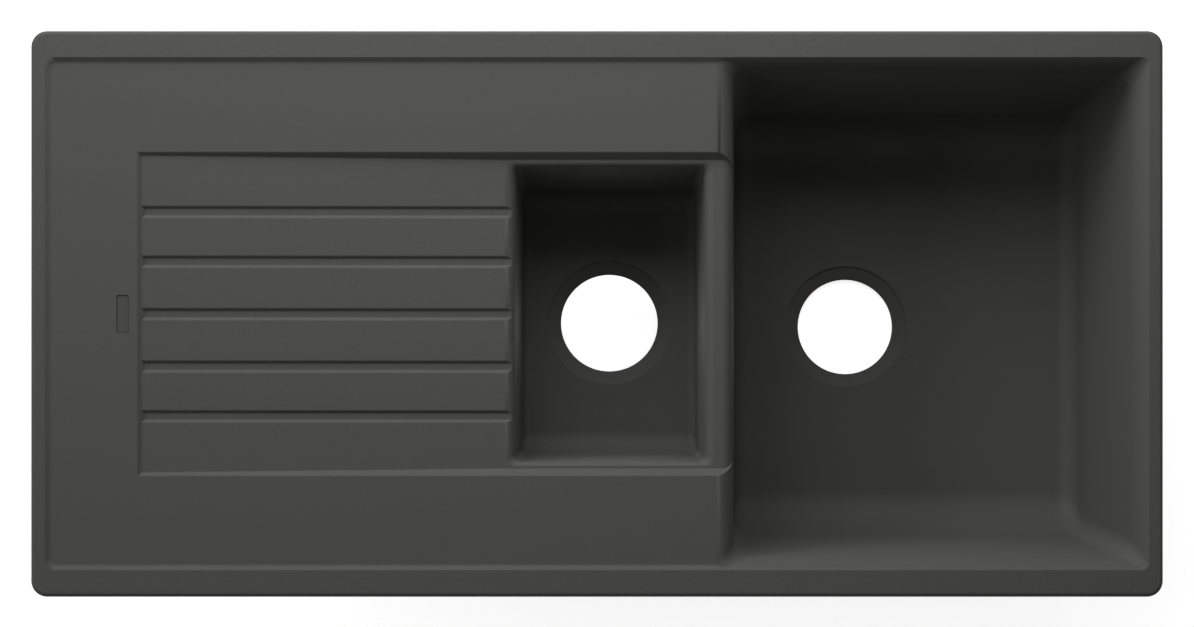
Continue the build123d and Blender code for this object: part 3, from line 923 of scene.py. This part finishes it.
@dataclass(frozen=True)
class Bowl:
    """A bowl, cut as a stack of rounded outlines that are bridged into one smooth tool."""

    name: str
    left_edge: float
    right_edge: float
    half_width: float
    left: Side
    right: Side
    front: Side
    lip_corner: float
    corner: float
    floor_corner: float
    steps: int = 9
    pitch: float = 0.08
    segments: int = 12

    def corner_at(self, z: float) -> float:
        """The upright corners' radius at a height: it grows from the floor, and shrinks over the lip."""
        _, lip_height = self.front.lip_arc()
        lip_share = min(1.0, max(0.0, self.front.top - z) / lip_height)
        climb = min(1.0, max(0.0, 3 * (z - self.front.floor) / self.left.floor_round))
        above = self.lip_corner + (self.corner - self.lip_corner) * lip_share
        return min(above, self.floor_corner + (self.corner - self.floor_corner) * math.sqrt(climb))

    def levels(self, sides: Sequence[Side], top: float) -> list[float]:
        """Sorted heights of the outlines, none too close to the next."""
        found = sorted({round(z, 3) for side in sides for z in side.heights(self.steps) if z < top})
        kept = [found[0]]
        for z in [*found[1:], top]:
            if z - kept[-1] > self.pitch:
                kept.append(z)
        if top - kept[-1] > 0:
            kept[-1] = top
        return kept

    def stack(self, name: str, outlines: Sequence[tuple[float, float, float, float, float]]) -> Piece:
        """Bridges a stack of rounded outlines into a closed solid.

        Args:
            name: The new object's name.
            outlines: Height, left X, right X, half width and corner radius of each, from the bottom up.

        Returns:
            The solid, in object mode.
        """
        deselect()
        piece = None
        for z, low, high, reach, corner in outlines:
            bpy.ops.mesh.primitive_plane_add(size=MM, location=metres((low + high) / 2, 0, z))
            if piece is None:
                piece = bpy.context.object
                piece.name = name
                settle(piece)
                edit(piece)
                select_everything()
            middle = metres((low + high) / 2, 0, z)
            bpy.ops.transform.resize(value=(high - low, 2 * reach, 1), center_override=middle)
            bpy.ops.mesh.bevel(offset=corner * MM, segments=self.segments, affect="VERTICES")
            bpy.ops.mesh.delete(type="ONLY_FACE")
        heights = [outline[0] for outline in outlines]
        for low, high in zip(heights, heights[1:]):
            pick(piece, lambda at, ends=(low, high): min(abs(at.z - end) for end in ends) < self.pitch / 4)
            bpy.ops.mesh.bridge_edge_loops()
        for end in (heights[0], heights[-1]):
            pick(piece, lambda at, end=end: abs(at.z - end) < self.pitch / 4)
            bpy.ops.mesh.edge_face_add()
        close(piece)
        return piece

    def space(self, sky: float) -> Piece:
        """The tool that hollows the bowl.

        Args:
            sky: The height of the tool's top.

        Returns:
            The tool.
        """
        top = max(self.left.top, self.right.top, self.front.top)
        outlines = [
            (
                z,
                self.left_edge + self.left.inset(z),
                self.right_edge - self.right.inset(z),
                self.half_width - self.front.inset(z),
                self.corner_at(z),
            )
            for z in [*self.levels((self.left, self.right, self.front), top), sky]
        ]
        return self.stack(f"{self.name}_space", outlines)

    def shell(self, wall: float, floor: float, top: float) -> Piece:
        """The outside of the bowl below the plate.

        Args:
            wall: The wall's thickness.
            floor: The floor's thickness.
            top: The height of the solid's top.

        Returns:
            The solid.
        """
        (left_in, left), (right_in, right), (front_in, front) = (
            side.outside(wall, floor) for side in (self.left, self.right, self.front)
        )
        outlines = [
            (
                z,
                self.left_edge + left_in + left.inset(z),
                self.right_edge - right_in - right.inset(z),
                self.half_width - front_in - front.inset(z),
                self.corner + wall,
            )
            for z in self.levels((left, right, front), top)
        ]
        return self.stack(f"{self.name}_shell", outlines)


@dataclass
class SinkBody:
    """The cast body: rim, sunk top, drainer, two bowls, and the bosses and ribs on its underside."""

    length: float = 1000.0
    width: float = 500.0
    corner: float = 14.0
    rim_low: float = 1.0
    rim_top: float = 8.0
    edge_round: float = 4.0
    tray_length: float = 972.0
    tray_width: float = 472.0
    tray_low: float = -4.0
    frame_length: float = 975.0
    frame_width: float = 452.8
    frame_corner: float = 7.0
    ledge_top: float = 5.0
    ledge_slope: float = 35.0
    ledge_cove: float = 4.5
    recess_left: float = -406.0
    recess_width: float = 286.0
    recess_start: float = 2.3
    recess_end: float = -1.2
    recess_ramp: float = 3.0
    recess_lip: float = 10.0
    drainer_low: float = -10.2
    groove_centres: tuple[float, ...] = (-90.4, -46.4, 0.0, 46.4, 90.4)
    groove_width: float = 10.3
    groove_depth: float = 2.2
    groove_ramp: float = 2.5
    wall: float = 8.0
    floor: float = 10.0
    waste_hole: float = 45.0
    waste_dish: float = 57.0
    waste_step: float = 1.4
    waste_drop: float = 5.0
    wastes: tuple[Pair, ...] = ((236.7, -182.0), (11.5, -122.0))
    badge_at: Pair = (-419.2, 0.0)
    badge_size: Pair = (11.0, 33.4)
    badge_depth: float = 1.4
    knockout_at: tuple[float, ...] = (-78.5, 11.5)
    knockout_y: float = 184.7
    knockout_radius: float = 17.5
    knockout_top: float = 1.5
    rib_ys: tuple[float, ...] = (-88.0, 0.0, 88.0)
    rib_span: Pair = (-376.0, -112.0)
    rib_low: float = -22.2
    rib_width: float = 8.0
    boss_low: float = -14.0
    boss_length: float = 52.0
    boss_depth: Pair = (-15.4, 4.7)
    boss_holes: tuple[Point, ...] = ((-16.0, 3.05, 8.0), (16.0, 3.05, 8.0), (0.0, 4.5, 6.0))
    sky: float = 12.0
    main: Bowl = field(
        default_factory=lambda: Bowl(
            name="main_bowl", left_edge=104.5, right_edge=487.5, half_width=226.4,
            left=Side(5.0, -182.0, 16.0, 3.3, 19.0),
            right=Side(8.0, -182.0, 12.0, 7.7, 19.0, 45.0),
            front=Side(8.0, -182.0, 12.0, 7.0, 44.0, 45.0),
            lip_corner=7.0, corner=17.0, floor_corner=2.0,
        )
    )
    half: Bowl = field(
        default_factory=lambda: Bowl(
            name="half_bowl", left_edge=-82.0, right_edge=105.0, half_width=135.5,
            left=Side(-1.15, -122.0, 9.5, 2.0, 8.0),
            right=Side(-1.15, -122.0, 9.5, 2.0, 8.0),
            front=Side(-1.15, -122.0, 4.5, 5.0, 22.0),
            lip_corner=12.0, corner=6.0, floor_corner=1.5,
        )
    )

    def block(self) -> Piece:
        """Everything solid, before it is hollowed.

        Returns:
            The block.
        """
        size = (self.length, self.width)
        body = slab("sink_body_cast", (0, 0), size, self.rim_low, self.rim_top, self.corner, 14)
        edit(body)
        pick(body, lambda at: at.z > self.rim_top - 0.1)
        bpy.ops.mesh.bevel(offset=self.edge_round * MM, segments=8, affect="EDGES")
        close(body)
        size = (self.tray_length, self.tray_width)
        tray = slab("tray", (0, 0), size, self.tray_low, self.rim_low + 1, self.corner)
        apply(body, tray, Cut.ADD)
        pad_right = self.half.right_edge
        middle, size = (self.recess_left + pad_right) / 2, (pad_right - self.recess_left, self.recess_width)
        pad = slab("drainer_pad", (middle, 0), size, self.drainer_low, self.tray_low + 1, 3.0, 4)
        apply(body, pad, Cut.ADD)
        left, right = self.rib_span
        for y in self.rib_ys:
            rib = slab(
                "rib", ((left + right) / 2, y), (right - left, self.rib_width),
                self.rib_low, self.drainer_low + 1, self.rib_width / 2 - 0.05, 6,
            )
            apply(body, rib, Cut.ADD)
        for bowl in (self.main, self.half):
            apply(body, bowl.shell(self.wall, self.floor, self.tray_low + 2), Cut.ADD)
        return body

    def pocket(self) -> Piece:
        """The tool that sinks the ledges: slanted steps whose foot flattens into the ledge in a small cove.

        Returns:
            The tool.
        """
        left, right = -self.frame_length / 2, self.main.left_edge + 2 * self.main.left.lip
        middle, span = (left + right) / 2, (right - left) / 2
        drop = self.rim_top - self.ledge_top
        start = math.radians(self.ledge_slope)
        foot = drop / math.tan(start) + self.ledge_cove * math.tan(start / 2)
        levels = []
        steps = 6
        for step in range(steps + 1):
            slope = start * step / steps
            z = self.ledge_top + self.ledge_cove * (1 - math.cos(slope))
            levels.append((z, foot - self.ledge_cove * math.sin(slope)))
        outlines = [
            (z, middle - span + inset, middle + span - inset, self.frame_width / 2 - inset, self.frame_corner)
            for z, inset in (*levels, (self.rim_top, 0), (self.sky, 0))
        ]
        return replace(self.main, pitch=0.05).stack("pocket", outlines)

    def recess(self, slope: float, ease: float) -> Piece:
        """The tool that sinks the drainer: a floor that falls to the bowls, and slanted sides.

        Args:
            slope: How steep the sides are, in degrees.
            ease: How far the sides' upper edges stand outside the recess.

        Returns:
            The tool.
        """
        wall = self.main.left_edge + self.main.left.lip
        half = self.recess_width / 2 + ease
        reach = half + 16
        low = self.recess_end - self.recess_lip
        start = self.recess_left - 0.5
        corners = [
            (start, -reach, self.ledge_top + 0.3),
            (self.recess_left + self.recess_ramp, -reach, self.recess_start),
            (self.half.left_edge, -reach, self.recess_end),
            (wall, -reach, self.recess_end),
            (wall, -reach, low),
            (wall + self.wall, -reach, low),
            (wall + self.wall, -reach, self.sky),
            (start, -reach, self.sky),
        ]
        piece = sheet_of("recess", corners, {1: (0.8, 4), 3: (self.recess_lip - 0.01, 14)})
        pull((0, 2 * reach, 0))
        lean = math.radians(slope)
        for side in (-1, 1):
            select_everything()
            bpy.ops.mesh.bisect(
                plane_co=metres(0, side * half, self.ledge_top),
                plane_no=(0, side * math.sin(lean), -math.cos(lean)), use_fill=True, clear_outer=True,
            )

        def at_foot(at: Vector) -> bool:
            """Whether a vertex lies where a side meets the floor."""
            off_side = (abs(at.y) - half) * math.sin(lean) - (at.z - self.ledge_top) * math.cos(lean)
            lip_start = wall - self.recess_lip + 0.1
            return abs(off_side) < 0.02 and at.z < self.ledge_top - 0.5 and at.x < lip_start

        def along_foot(a: Vector, b: Vector) -> bool:
            """Whether an edge runs along a foot."""
            return at_foot(a) and at_foot(b) and a.y * b.y > 0 and abs(a.x - b.x) > 0.01

        if not ease:
            pick_edges(piece, along_foot)
            bpy.ops.mesh.bevel(offset=0.6 * MM, segments=3, affect="EDGES")
        close(piece)
        return piece

    def groove(self, y: float) -> Piece:
        """The tool of one groove, parallel to the falling floor, with a soft ramp at its closed end.

        Args:
            y: The groove's centre line.

        Returns:
            The tool.
        """
        start = self.recess_left + self.recess_ramp
        end = self.half.left_edge + self.half.left.lip
        fall = (self.recess_start - self.recess_end) / (self.half.left_edge - start)
        half, depth, over = self.groove_width / 2, self.groove_depth, 1.0
        rise = self.recess_start
        corners = [
            (start, y - half - 1.1, rise + over),
            (start, y - half - 1.1, rise + 0.02),
            (start, y - half, rise - 0.02),
            (start, y - half + depth, rise - depth),
            (start, y + half - depth, rise - depth),
            (start, y + half, rise - 0.02),
            (start, y + half + 1.1, rise + 0.02),
            (start, y + half + 1.1, rise + over),
        ]
        soft, foot = (0.9, 5), (0.7, 4)
        run = end - start
        piece = prism("groove", corners, (run, 0, -fall * run), {2: soft, 3: foot, 4: foot, 5: soft})
        edit(piece)
        select_everything()
        slope = depth / self.groove_ramp
        bpy.ops.mesh.bisect(
            plane_co=metres(start, y, rise), plane_no=(-slope - fall, 0, -1), use_fill=True, clear_outer=True,
        )
        close(piece)
        return piece

    def waste(self, x: float, floor_z: float) -> Piece:
        """The tool of a waste hole: a dish with a low step at its edge, and the hole with eased edges.

        Args:
            x: The hole's centre.
            floor_z: The bowl floor's height.

        Returns:
            The tool.
        """
        low = floor_z - self.floor
        slope = (self.waste_drop - self.waste_step) / (self.waste_dish - self.waste_hole)
        ease = 1.2
        rings = [
            (self.waste_dish + 0.3, floor_z + 2),
            (self.waste_dish + 0.3, floor_z + 0.02),
            (self.waste_dish, floor_z - 0.25),
            (self.waste_dish - 0.05, floor_z - self.waste_step + 0.15),
            (self.waste_dish - 0.3, floor_z - self.waste_step - 0.05),
            (self.waste_hole + ease, floor_z - self.waste_drop + ease * slope),
            (self.waste_hole + ease * 0.45, floor_z - self.waste_drop - ease * 0.15),
            (self.waste_hole + ease * 0.12, floor_z - self.waste_drop - ease * 0.5),
            (self.waste_hole, floor_z - self.waste_drop - ease),
            (self.waste_hole, low - 3),
        ]
        return stepped("waste_hole", x, 0, rings, 128)

    def boss(self, place: ClipPlace) -> Piece:
        """One boss that carries a clip.

        Args:
            place: The clip's place.

        Returns:
            The solid.
        """
        back, front = self.boss_depth
        half = self.boss_length / 2
        flat = [(-half, back), (half, back), (half, front), (-half, front)]
        corners = [(*place.spot(along, outwards), self.boss_low) for along, outwards in flat]
        return prism("clip_boss", corners, (0, 0, self.tray_low + 1 - self.boss_low), {0: (3, 5), 1: (3, 5)})

    def build(self) -> Piece:
        """Casts the whole body.

        Returns:
            The body, ready to be shaded and given its finish.
        """
        body = self.block()
        for place in CLIP_PLACES:
            apply(body, self.boss(place), Cut.ADD)
        apply(body, self.pocket(), Cut.REMOVE)
        apply(body, self.main.space(self.sky), Cut.REMOVE)
        apply(body, self.recess(45.0, 0.0), Cut.REMOVE)
        apply(body, self.recess(22.5, 0.7), Cut.REMOVE)
        apply(body, self.half.space(self.sky), Cut.REMOVE)
        for y in self.groove_centres:
            apply(body, self.groove(y), Cut.REMOVE)
        for x, floor_z in self.wastes:
            apply(body, self.waste(x, floor_z), Cut.REMOVE)
        low = self.ledge_top - self.badge_depth
        apply(body, slab("badge_recess", self.badge_at, self.badge_size, low, self.sky, 1.5, 6), Cut.REMOVE)
        for x in self.knockout_at:
            for side in (-1, 1):
                rings = [(self.knockout_radius, self.tray_low - 1), (self.knockout_radius, self.knockout_top)]
                apply(body, stepped("knockout", x, side * self.knockout_y, rings), Cut.REMOVE)
        for place in CLIP_PLACES:
            for offset, radius, depth in self.boss_holes:
                rings = [(radius, self.boss_low - 1), (radius, self.boss_low + depth)]
                apply(body, stepped("boss_hole", *place.spot(offset, 0), rings), Cut.REMOVE)
        edit(body)
        select_everything()
        bpy.ops.mesh.remove_doubles(threshold=SLIVER)
        bpy.ops.mesh.dissolve_degenerate(threshold=SLIVER)
        bpy.ops.object.mode_set(mode="OBJECT")
        return body


@dataclass
class Badge:
    """The blank plate in the recess beside the drainer, pressed from thin sheet."""

    at: Pair = (-419.2, 0.0)
    size: Pair = (10.4, 32.8)
    low: float = 3.6
    thickness: float = 0.5
    corner: float = 1.2

    def build(self) -> Piece:
        """Presses the plate.

        Returns:
            The plate.
        """
        piece = slab("badge_blank", self.at, self.size, self.low, self.low + self.thickness, self.corner, 6)
        ease_edges(piece, 0.15)
        return piece


@dataclass
class RimSeal:
    """The closed foam strip under the rim, at its pressed thickness."""

    outside: Pair = (996.0, 496.0)
    width: float = 6.0
    thickness: float = 1.0
    corner: float = 12.0

    def build(self) -> Piece:
        """Lays the strip.

        Returns:
            The strip.
        """
        rounds = {number: (self.corner, 10) for number in range(4)}
        piece = sheet_of("foam_strip", rectangle((0, 0), self.outside, 0), rounds)
        bpy.ops.mesh.inset(thickness=self.width * MM, depth=0)
        bpy.ops.mesh.delete(type="FACE")
        select_everything()
        pull((0, 0, self.thickness))
        close(piece)
        ease_edges(piece, 0.25)
        return piece


# Share of the radius and of the height of each point of a pan head's half outline
PAN_HEAD_DOME = (
    (0.0, 1.0), (0.42, 0.99), (0.68, 0.91), (0.85, 0.77), (0.96, 0.56), (1.0, 0.36), (1.0, 0.06), (0.97, 0.0),
)


@dataclass
class Clip:
    """A fixing clip, modelled once about its screw's axis, with +X along the rim and +Y towards it."""

    boss_bottom: float = -14.0
    foot_bottom: float = -70.0
    strap: float = 1.6
    strap_width: float = 16.0
    strap_back: float = -7.4
    flange_reach: float = 5.6
    bend_inside: float = 0.8
    ear_length: float = 44.0
    ear_corner: float = 3.0
    insert_offset: float = 16.0
    insert_radius: float = 3.0
    insert_length: float = 8.0
    small_screw: float = 1.75
    small_pitch: float = 0.6
    clamp_radius: float = 2.5
    clamp_pitch: float = 0.8
    clamp_top: float = -10.0
    head_radius: float = 4.75
    head_height: float = 3.6
    collar: Point = (4.0, -68.2, -67.0)
    nut_size: float = 11.2
    nut_span: Pair = (-66.8, -61.8)
    hub: Pair = (3.7, -58.6)
    claw_span: Pair = (-61.75, -58.75)
    claw_width: float = 11.0
    claw_reach: float = 34.0
    tooth: Pair = (3.0, 6.0)
    tooth_spacing: float = 8.0
    clamp_drive: Point = (5.4, 1.3, 2.2)
    bracket_head: Pair = (3.5, 2.4)
    bracket_drive: Point = (3.8, 0.9, 1.5)
    bracket_twist: float = 37.0
    knurls: int = 24
    knurl_depth: float = 0.15
    edge: float = 0.2
    running_gap: float = 0.05
    slide_gap: float = 0.2
    hole_gap: float = 0.3

    def bracket(self) -> Piece:
        """The bent strap: an ear on the boss, a back beside the nut, and a foot that carries the clamp screw.

        Returns:
            The bracket.
        """
        half = self.strap_width / 2
        face = self.strap_back + self.strap
        ear_bottom, foot_top = self.boss_bottom - self.strap, self.foot_bottom + self.strap
        back, reach = self.strap_back, self.flange_reach
        side = [
            (back, self.boss_bottom), (reach, self.boss_bottom), (reach, ear_bottom), (face, ear_bottom),
            (face, foot_top), (reach, foot_top), (reach, self.foot_bottom), (back, self.foot_bottom),
        ]
        outer, inner = (self.bend_inside + self.strap, 8), (self.bend_inside, 5)
        bends = {0: outer, 3: inner, 4: inner, 7: outer}
        piece = prism("bracket", [(-half, y, z) for y, z in side], (2 * half, 0, 0), bends)
        depth = self.flange_reach - face
        middle, size = (0, face + depth / 2), (self.ear_length, depth)
        apply(piece, slab("ear", middle, size, ear_bottom, self.boss_bottom, self.ear_corner, 6), Cut.ADD)
        for offset in (-self.insert_offset, self.insert_offset):
            hole = bore(self.small_screw + self.hole_gap, ear_bottom, self.boss_bottom, self.edge)
            apply(piece, shift(hole, offset, 0), Cut.REMOVE)
        for gap, low, high in (
            (self.hole_gap, ear_bottom, self.boss_bottom), (self.running_gap, self.foot_bottom, foot_top)
        ):
            apply(piece, bore(self.clamp_radius + gap, low, high, self.edge), Cut.REMOVE)
        ease_edges(piece, self.edge)
        return piece

    def pan_head(self, radius: float, height: float, top: float) -> list[Pair]:
        """The half outline of a head that hangs below a height, from the axis out to its side and up."""
        return [(radius * across, top - height * down) for across, down in PAN_HEAD_DOME]

    def clamp_screw(self) -> Piece:
        """The long screw: a pan head with a cross recess, a swaged collar and a left-hand thread.

        Returns:
            The screw.
        """
        head_top = self.foot_bottom - self.slide_gap
        collar_radius, collar_low, collar_high = self.collar
        outline = [
            *self.pan_head(self.head_radius, self.head_height, head_top),
            (self.clamp_radius, head_top), (self.clamp_radius, collar_low),
            (collar_radius - self.edge, collar_low), (collar_radius, collar_low + self.edge),
            (collar_radius, collar_high - self.edge), (collar_radius - self.edge, collar_high),
            (0, collar_high),
        ]
        piece = turned("clamp_screw", outline)
        apply(piece, cross_slot(*self.clamp_drive, head_top - self.head_height), Cut.REMOVE)
        low = collar_high - self.edge
        run = thread("clamp_thread", self.clamp_radius, self.clamp_pitch, low, self.clamp_top, left_hand=True)
        apply(piece, run, Cut.ADD)
        return piece

    def clamp_nut(self) -> Piece:
        """The square nut, its lower corners chamfered as on a stock nut, with the claw's round hub on top.

        Returns:
            The nut.
        """
        low, high = self.nut_span
        hub_radius, hub_top = self.hub
        piece = slab("clamp_nut", (0, 0), (self.nut_size, self.nut_size), low, high, 0.3, 3)
        half = self.nut_size / 2
        reach = half * math.sqrt(2) + 1
        rise = (reach - half) * math.tan(math.radians(30))
        outline = [(0, low), (half, low), (reach, low + rise), (reach, high), (0, high)]
        apply(piece, turned("nut_blank", outline, 64), Cut.KEEP)
        outline = [
            (0, high - 1), (hub_radius, high - 1), (hub_radius, hub_top - self.edge),
            (hub_radius - self.edge, hub_top), (0, hub_top),
        ]
        apply(piece, turned("hub", outline, 48), Cut.ADD)
        apply(piece, bore(self.clamp_radius + self.running_gap, low, hub_top, 0.35), Cut.REMOVE)
        return piece

    def claw(self) -> Piece:
        """The flat claw with two teeth, parked along the rim.

        Returns:
            The claw.
        """
        low, high = self.claw_span
        half = self.claw_width / 2
        length, height = self.tooth
        tip, inner = self.claw_reach, self.claw_reach - self.tooth_spacing
        side = [
            (-half - 1, low), (tip, low), (tip, high + height), (tip - length, high),
            (inner, high), (inner, high + height), (inner - length, high), (-half - 1, high),
        ]
        piece = prism("claw", [(x, -half - 1, z) for x, z in side], (0, 2 * half + 2, 0))
        far = self.claw_reach + 5
        plan = [(x, y, low - 1) for x, y in ((far, -half), (far, half), (-half, half), (-half, -half))]
        hub_end = (half - 0.005, 14)
        shape = prism("claw_plan", plan, (0, 0, high + height + 2 - low), {2: hub_end, 3: hub_end})
        apply(piece, shape, Cut.KEEP)
        apply(piece, bore(self.hub[0] + self.running_gap, low, high, self.edge), Cut.REMOVE)
        ease_edges(piece, self.edge)
        return piece

    def insert(self) -> Piece:
        """A moulded-in insert: two knurled bands beside a groove, and an eased bore.

        Returns:
            The insert, about the Z axis.
        """
        low, radius = self.boss_bottom, self.insert_radius
        hole = self.small_screw + self.running_gap
        groove = radius - 0.4
        outline = [
            (hole, low + 0.3), (hole + 0.3, low), (radius - self.edge, low), (radius, low + self.edge),
            (radius, low + 2.8), (groove, low + 3.0), (groove, low + 5.0), (radius, low + 5.2),
            (radius, low + self.insert_length - self.edge), (radius - self.edge, low + self.insert_length),
            (hole + 0.3, low + self.insert_length), (hole, low + self.insert_length - 0.3),
        ]
        piece = turned("insert", outline, 2 * self.knurls, ring=True)
        edit(piece)
        step = math.pi / self.knurls

        def in_valley(at: Vector) -> bool:
            """Whether a vertex is in every second row of the knurl."""
            return math.hypot(at.x, at.y) > radius - 0.01 and round(math.atan2(at.y, at.x) / step) % 2 == 1

        pick(piece, in_valley)
        share = 1 - self.knurl_depth / radius
        bpy.ops.transform.resize(value=(share, share, 1), center_override=(0, 0, 0))
        close(piece)
        return piece

    def bracket_screw(self) -> Piece:
        """The short pan-head screw that holds an ear to its insert.

        Returns:
            The screw, about the Z axis.
        """
        top = self.boss_bottom - self.strap
        radius, height = self.bracket_head
        piece = turned("bracket_screw", [*self.pan_head(radius, height, top), (0, top)])
        apply(piece, cross_slot(*self.bracket_drive, top - height), Cut.REMOVE)
        high = self.boss_bottom + self.insert_length
        run = thread("bracket_thread", self.small_screw, self.small_pitch, top - 0.3, high, 16)
        apply(piece, run, Cut.ADD)
        return piece


def spread(
    master: Piece, finish: Material, piece_name: str, node_name: str, body_name: str
) -> None:
    """Copies a clip's piece to every clip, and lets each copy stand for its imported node.

    Args:
        master: The piece about its own axis.
        finish: Its material.
        piece_name: What each copy's name starts with.
        node_name: What the node's name starts with.
        body_name: What the body's name starts with, or the whole name of the one body that carries all.
    """
    wear(master, finish)
    for place, piece in zip(CLIP_PLACES, copies(master, len(CLIP_PLACES))):
        piece.name = f"{piece_name}_{place.name}"
        shift(piece, place.x, place.y, place.turn)
        body = body_name if body_name in frame["bodies"] else f"{body_name}_{place.name}"
        stand_for(piece, body, f"{node_name}_{place.name}")


def pairs(master: Piece, offset: float, twist: float, name: str) -> Piece:
    """Copies a small piece to both ends of every clip's ear and joins the copies.

    Args:
        master: The piece about the Z axis.
        offset: How far from the clip's middle it stands.
        twist: How much further each copy is turned than the one before, in degrees.
        name: The joined piece's name.

    Returns:
        The joined piece.
    """
    spots = [place.spot(side * offset, 0) for place in CLIP_PLACES for side in (-1, 1)]
    made = copies(master, len(spots))
    for number, (piece, (x, y)) in enumerate(zip(made, spots)):
        shift(piece, x, y, twist * number)
    activate(made[0])
    for piece in made:
        piece.select_set(True)
    bpy.ops.object.join()
    joined = bpy.context.object
    joined.name = name
    return joined


def wear(piece: Piece, finish: Material) -> None:
    """Shades a piece smooth, with its large faces setting the normals beside them, and gives it its finish.

    Args:
        piece: The piece.
        finish: The material.
    """
    activate(piece)
    bpy.ops.object.shade_smooth_by_angle(angle=math.radians(SHARP_FROM), keep_sharp_edges=False)
    modify(piece, "WEIGHTED_NORMAL", keep_sharp=True, weight=50)
    piece.data.materials.clear()
    piece.data.materials.append(finish)


def stand_for(piece: Piece, body: str, node: str) -> None:
    """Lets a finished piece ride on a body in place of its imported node, and reports it.

    Args:
        piece: The piece.
        body: The body that carries it.
        node: The node that it replaces.
    """
    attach(piece, body)
    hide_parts(node)
    LOG.info("%s for %s on %s: %d faces", piece.name, node, body, len(piece.data.polygons))


@dataclass(frozen=True)
class Softbox:
    """A rectangular lamp: its place, the X of the spot on the worktop that it points at, and its power."""

    name: str
    place: Point
    aim_x: float
    size: Pair
    watts: float

    def hang(self) -> None:
        """Adds the lamp to the scene."""
        lamp = bpy.data.lights.new(self.name, "AREA")
        lamp.shape = "RECTANGLE"
        lamp.size, lamp.size_y = (side * MM for side in self.size)
        lamp.energy = self.watts
        holder = bpy.data.objects.new(self.name, lamp)
        holder.location = metres(*self.place)
        beam = Vector((self.aim_x, 0, 0)) - Vector(self.place)
        holder.rotation_euler = beam.to_track_quat("-Z", "Y").to_euler()
        bpy.context.scene.collection.objects.link(holder)


NEAR_BOX = (700.0, 1200.0)
FAR_BOX = (1500.0, 1500.0)
SOFTBOXES = (
    Softbox("rear_left_softbox", (-450.0, 1050.0, 650.0), -200.0, NEAR_BOX, 6.7),
    Softbox("rear_softbox", (50.0, 1050.0, 650.0), 0.0, NEAR_BOX, 6.6),
    Softbox("rear_right_softbox", (550.0, 1050.0, 650.0), 200.0, NEAR_BOX, 3.3),
    Softbox("left_softbox", (-3500.0, 400.0, 2200.0), 0.0, FAR_BOX, 30.0),
    Softbox("left_rear_softbox", (-3000.0, 2600.0, 2200.0), 0.0, FAR_BOX, 34.0),
)


@dataclass(frozen=True)
class Studio:
    """White floor, a row of softboxes behind the sink, two more to its left, a weak fill, and the camera."""

    floor_z: float = -192.5
    floor_size: float = 60000.0
    lens: float = 82.0
    sensor: float = 36.0
    camera_height: float = 2408.0
    camera_y: float = -154.4
    shift_px: float = 175.1
    fill: float = 0.061

    def build(self, floor_finish: StudioFloor) -> None:
        """Sets up the stage.

        Args:
            floor_finish: What the floor is painted with.
        """
        deselect()
        corners = rectangle((0, 0), (self.floor_size, self.floor_size), self.floor_z)
        floor = sheet_of("studio_floor", corners, {})
        close(floor)
        floor.data.materials.append(floor_finish.build())
        for softbox in SOFTBOXES:
            softbox.hang()
        self.world()
        self.camera()

    def world(self) -> None:
        """Sets a weak grey fill that the camera, gloss and glass see as a white backdrop."""
        world = fresh(bpy.data.worlds.new("studio_fill"))
        level = spread_of(world, looked_at(world), (0.0, 1.0), (self.fill, 1.0))
        glow = put(world, "Background", {"Color": (1, 1, 1, 1)}, {"Strength": level}).outputs[0]
        put(world, "OutputWorld", links={"Surface": glow})
        bpy.context.scene.world = world

    def camera(self) -> None:
        """Sets the camera straight above, as in the photograph: it stands over the front of the sink."""
        lens = bpy.data.cameras.new("photo_camera")
        lens.lens = self.lens
        lens.sensor_width = self.sensor
        lens.sensor_fit = "HORIZONTAL"
        lens.shift_y = self.shift_px / PHOTO_WIDTH
        lens.clip_end = 200.0
        holder = bpy.data.objects.new("photo_camera", lens)
        holder.location = metres(0, self.camera_y, self.camera_height)
        bpy.context.scene.collection.objects.link(holder)
        bpy.context.scene.camera = holder


def main() -> None:
    """Builds the pieces in order, dresses them and sets the stage."""
    logging.basicConfig(level=logging.INFO, format="%(name)s: %(message)s")
    bpy.context.scene.view_settings.view_transform = "Standard"
    steel, brass = ZincPlatedSteel().build(), TurnedBrass().build()
    for piece, finish, node, slot in (
        (SinkBody().build(), GraniteComposite(), "sink_body", "granite_composite"),
        (Badge().build(), BadgeEnamel(), "badge_plate", "badge_metal"),
        (RimSeal().build(), FoamSeal(), "rim_seal", "seal_foam"),
    ):
        wear(piece, finish.build())
        stand_for(piece, "sink", node)
    clip = Clip()
    inserts = pairs(clip.insert(), clip.insert_offset, 0.0, "knurled_inserts")
    wear(inserts, brass)
    stand_for(inserts, "sink", "boss_inserts")
    screws = pairs(clip.bracket_screw(), clip.insert_offset, clip.bracket_twist, "cross_head_screws")
    wear(screws, steel)
    stand_for(screws, "sink", "bracket_screws")
    for master, piece_name, node_name, body_name in (
        (clip.bracket(), "bent_bracket", "clip_bracket", "sink"),
        (clip.clamp_screw(), "threaded_screw", "clamp_screw", "screw"),
        (clip.clamp_nut(), "square_nut", "clamp_nut", "nut"),
        (clip.claw(), "toothed_claw", "claw", "claw"),
    ):
        spread(master, steel, piece_name, node_name, body_name)
    Studio().build(StudioFloor())
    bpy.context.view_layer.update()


if __name__ == "__main__":
    main()
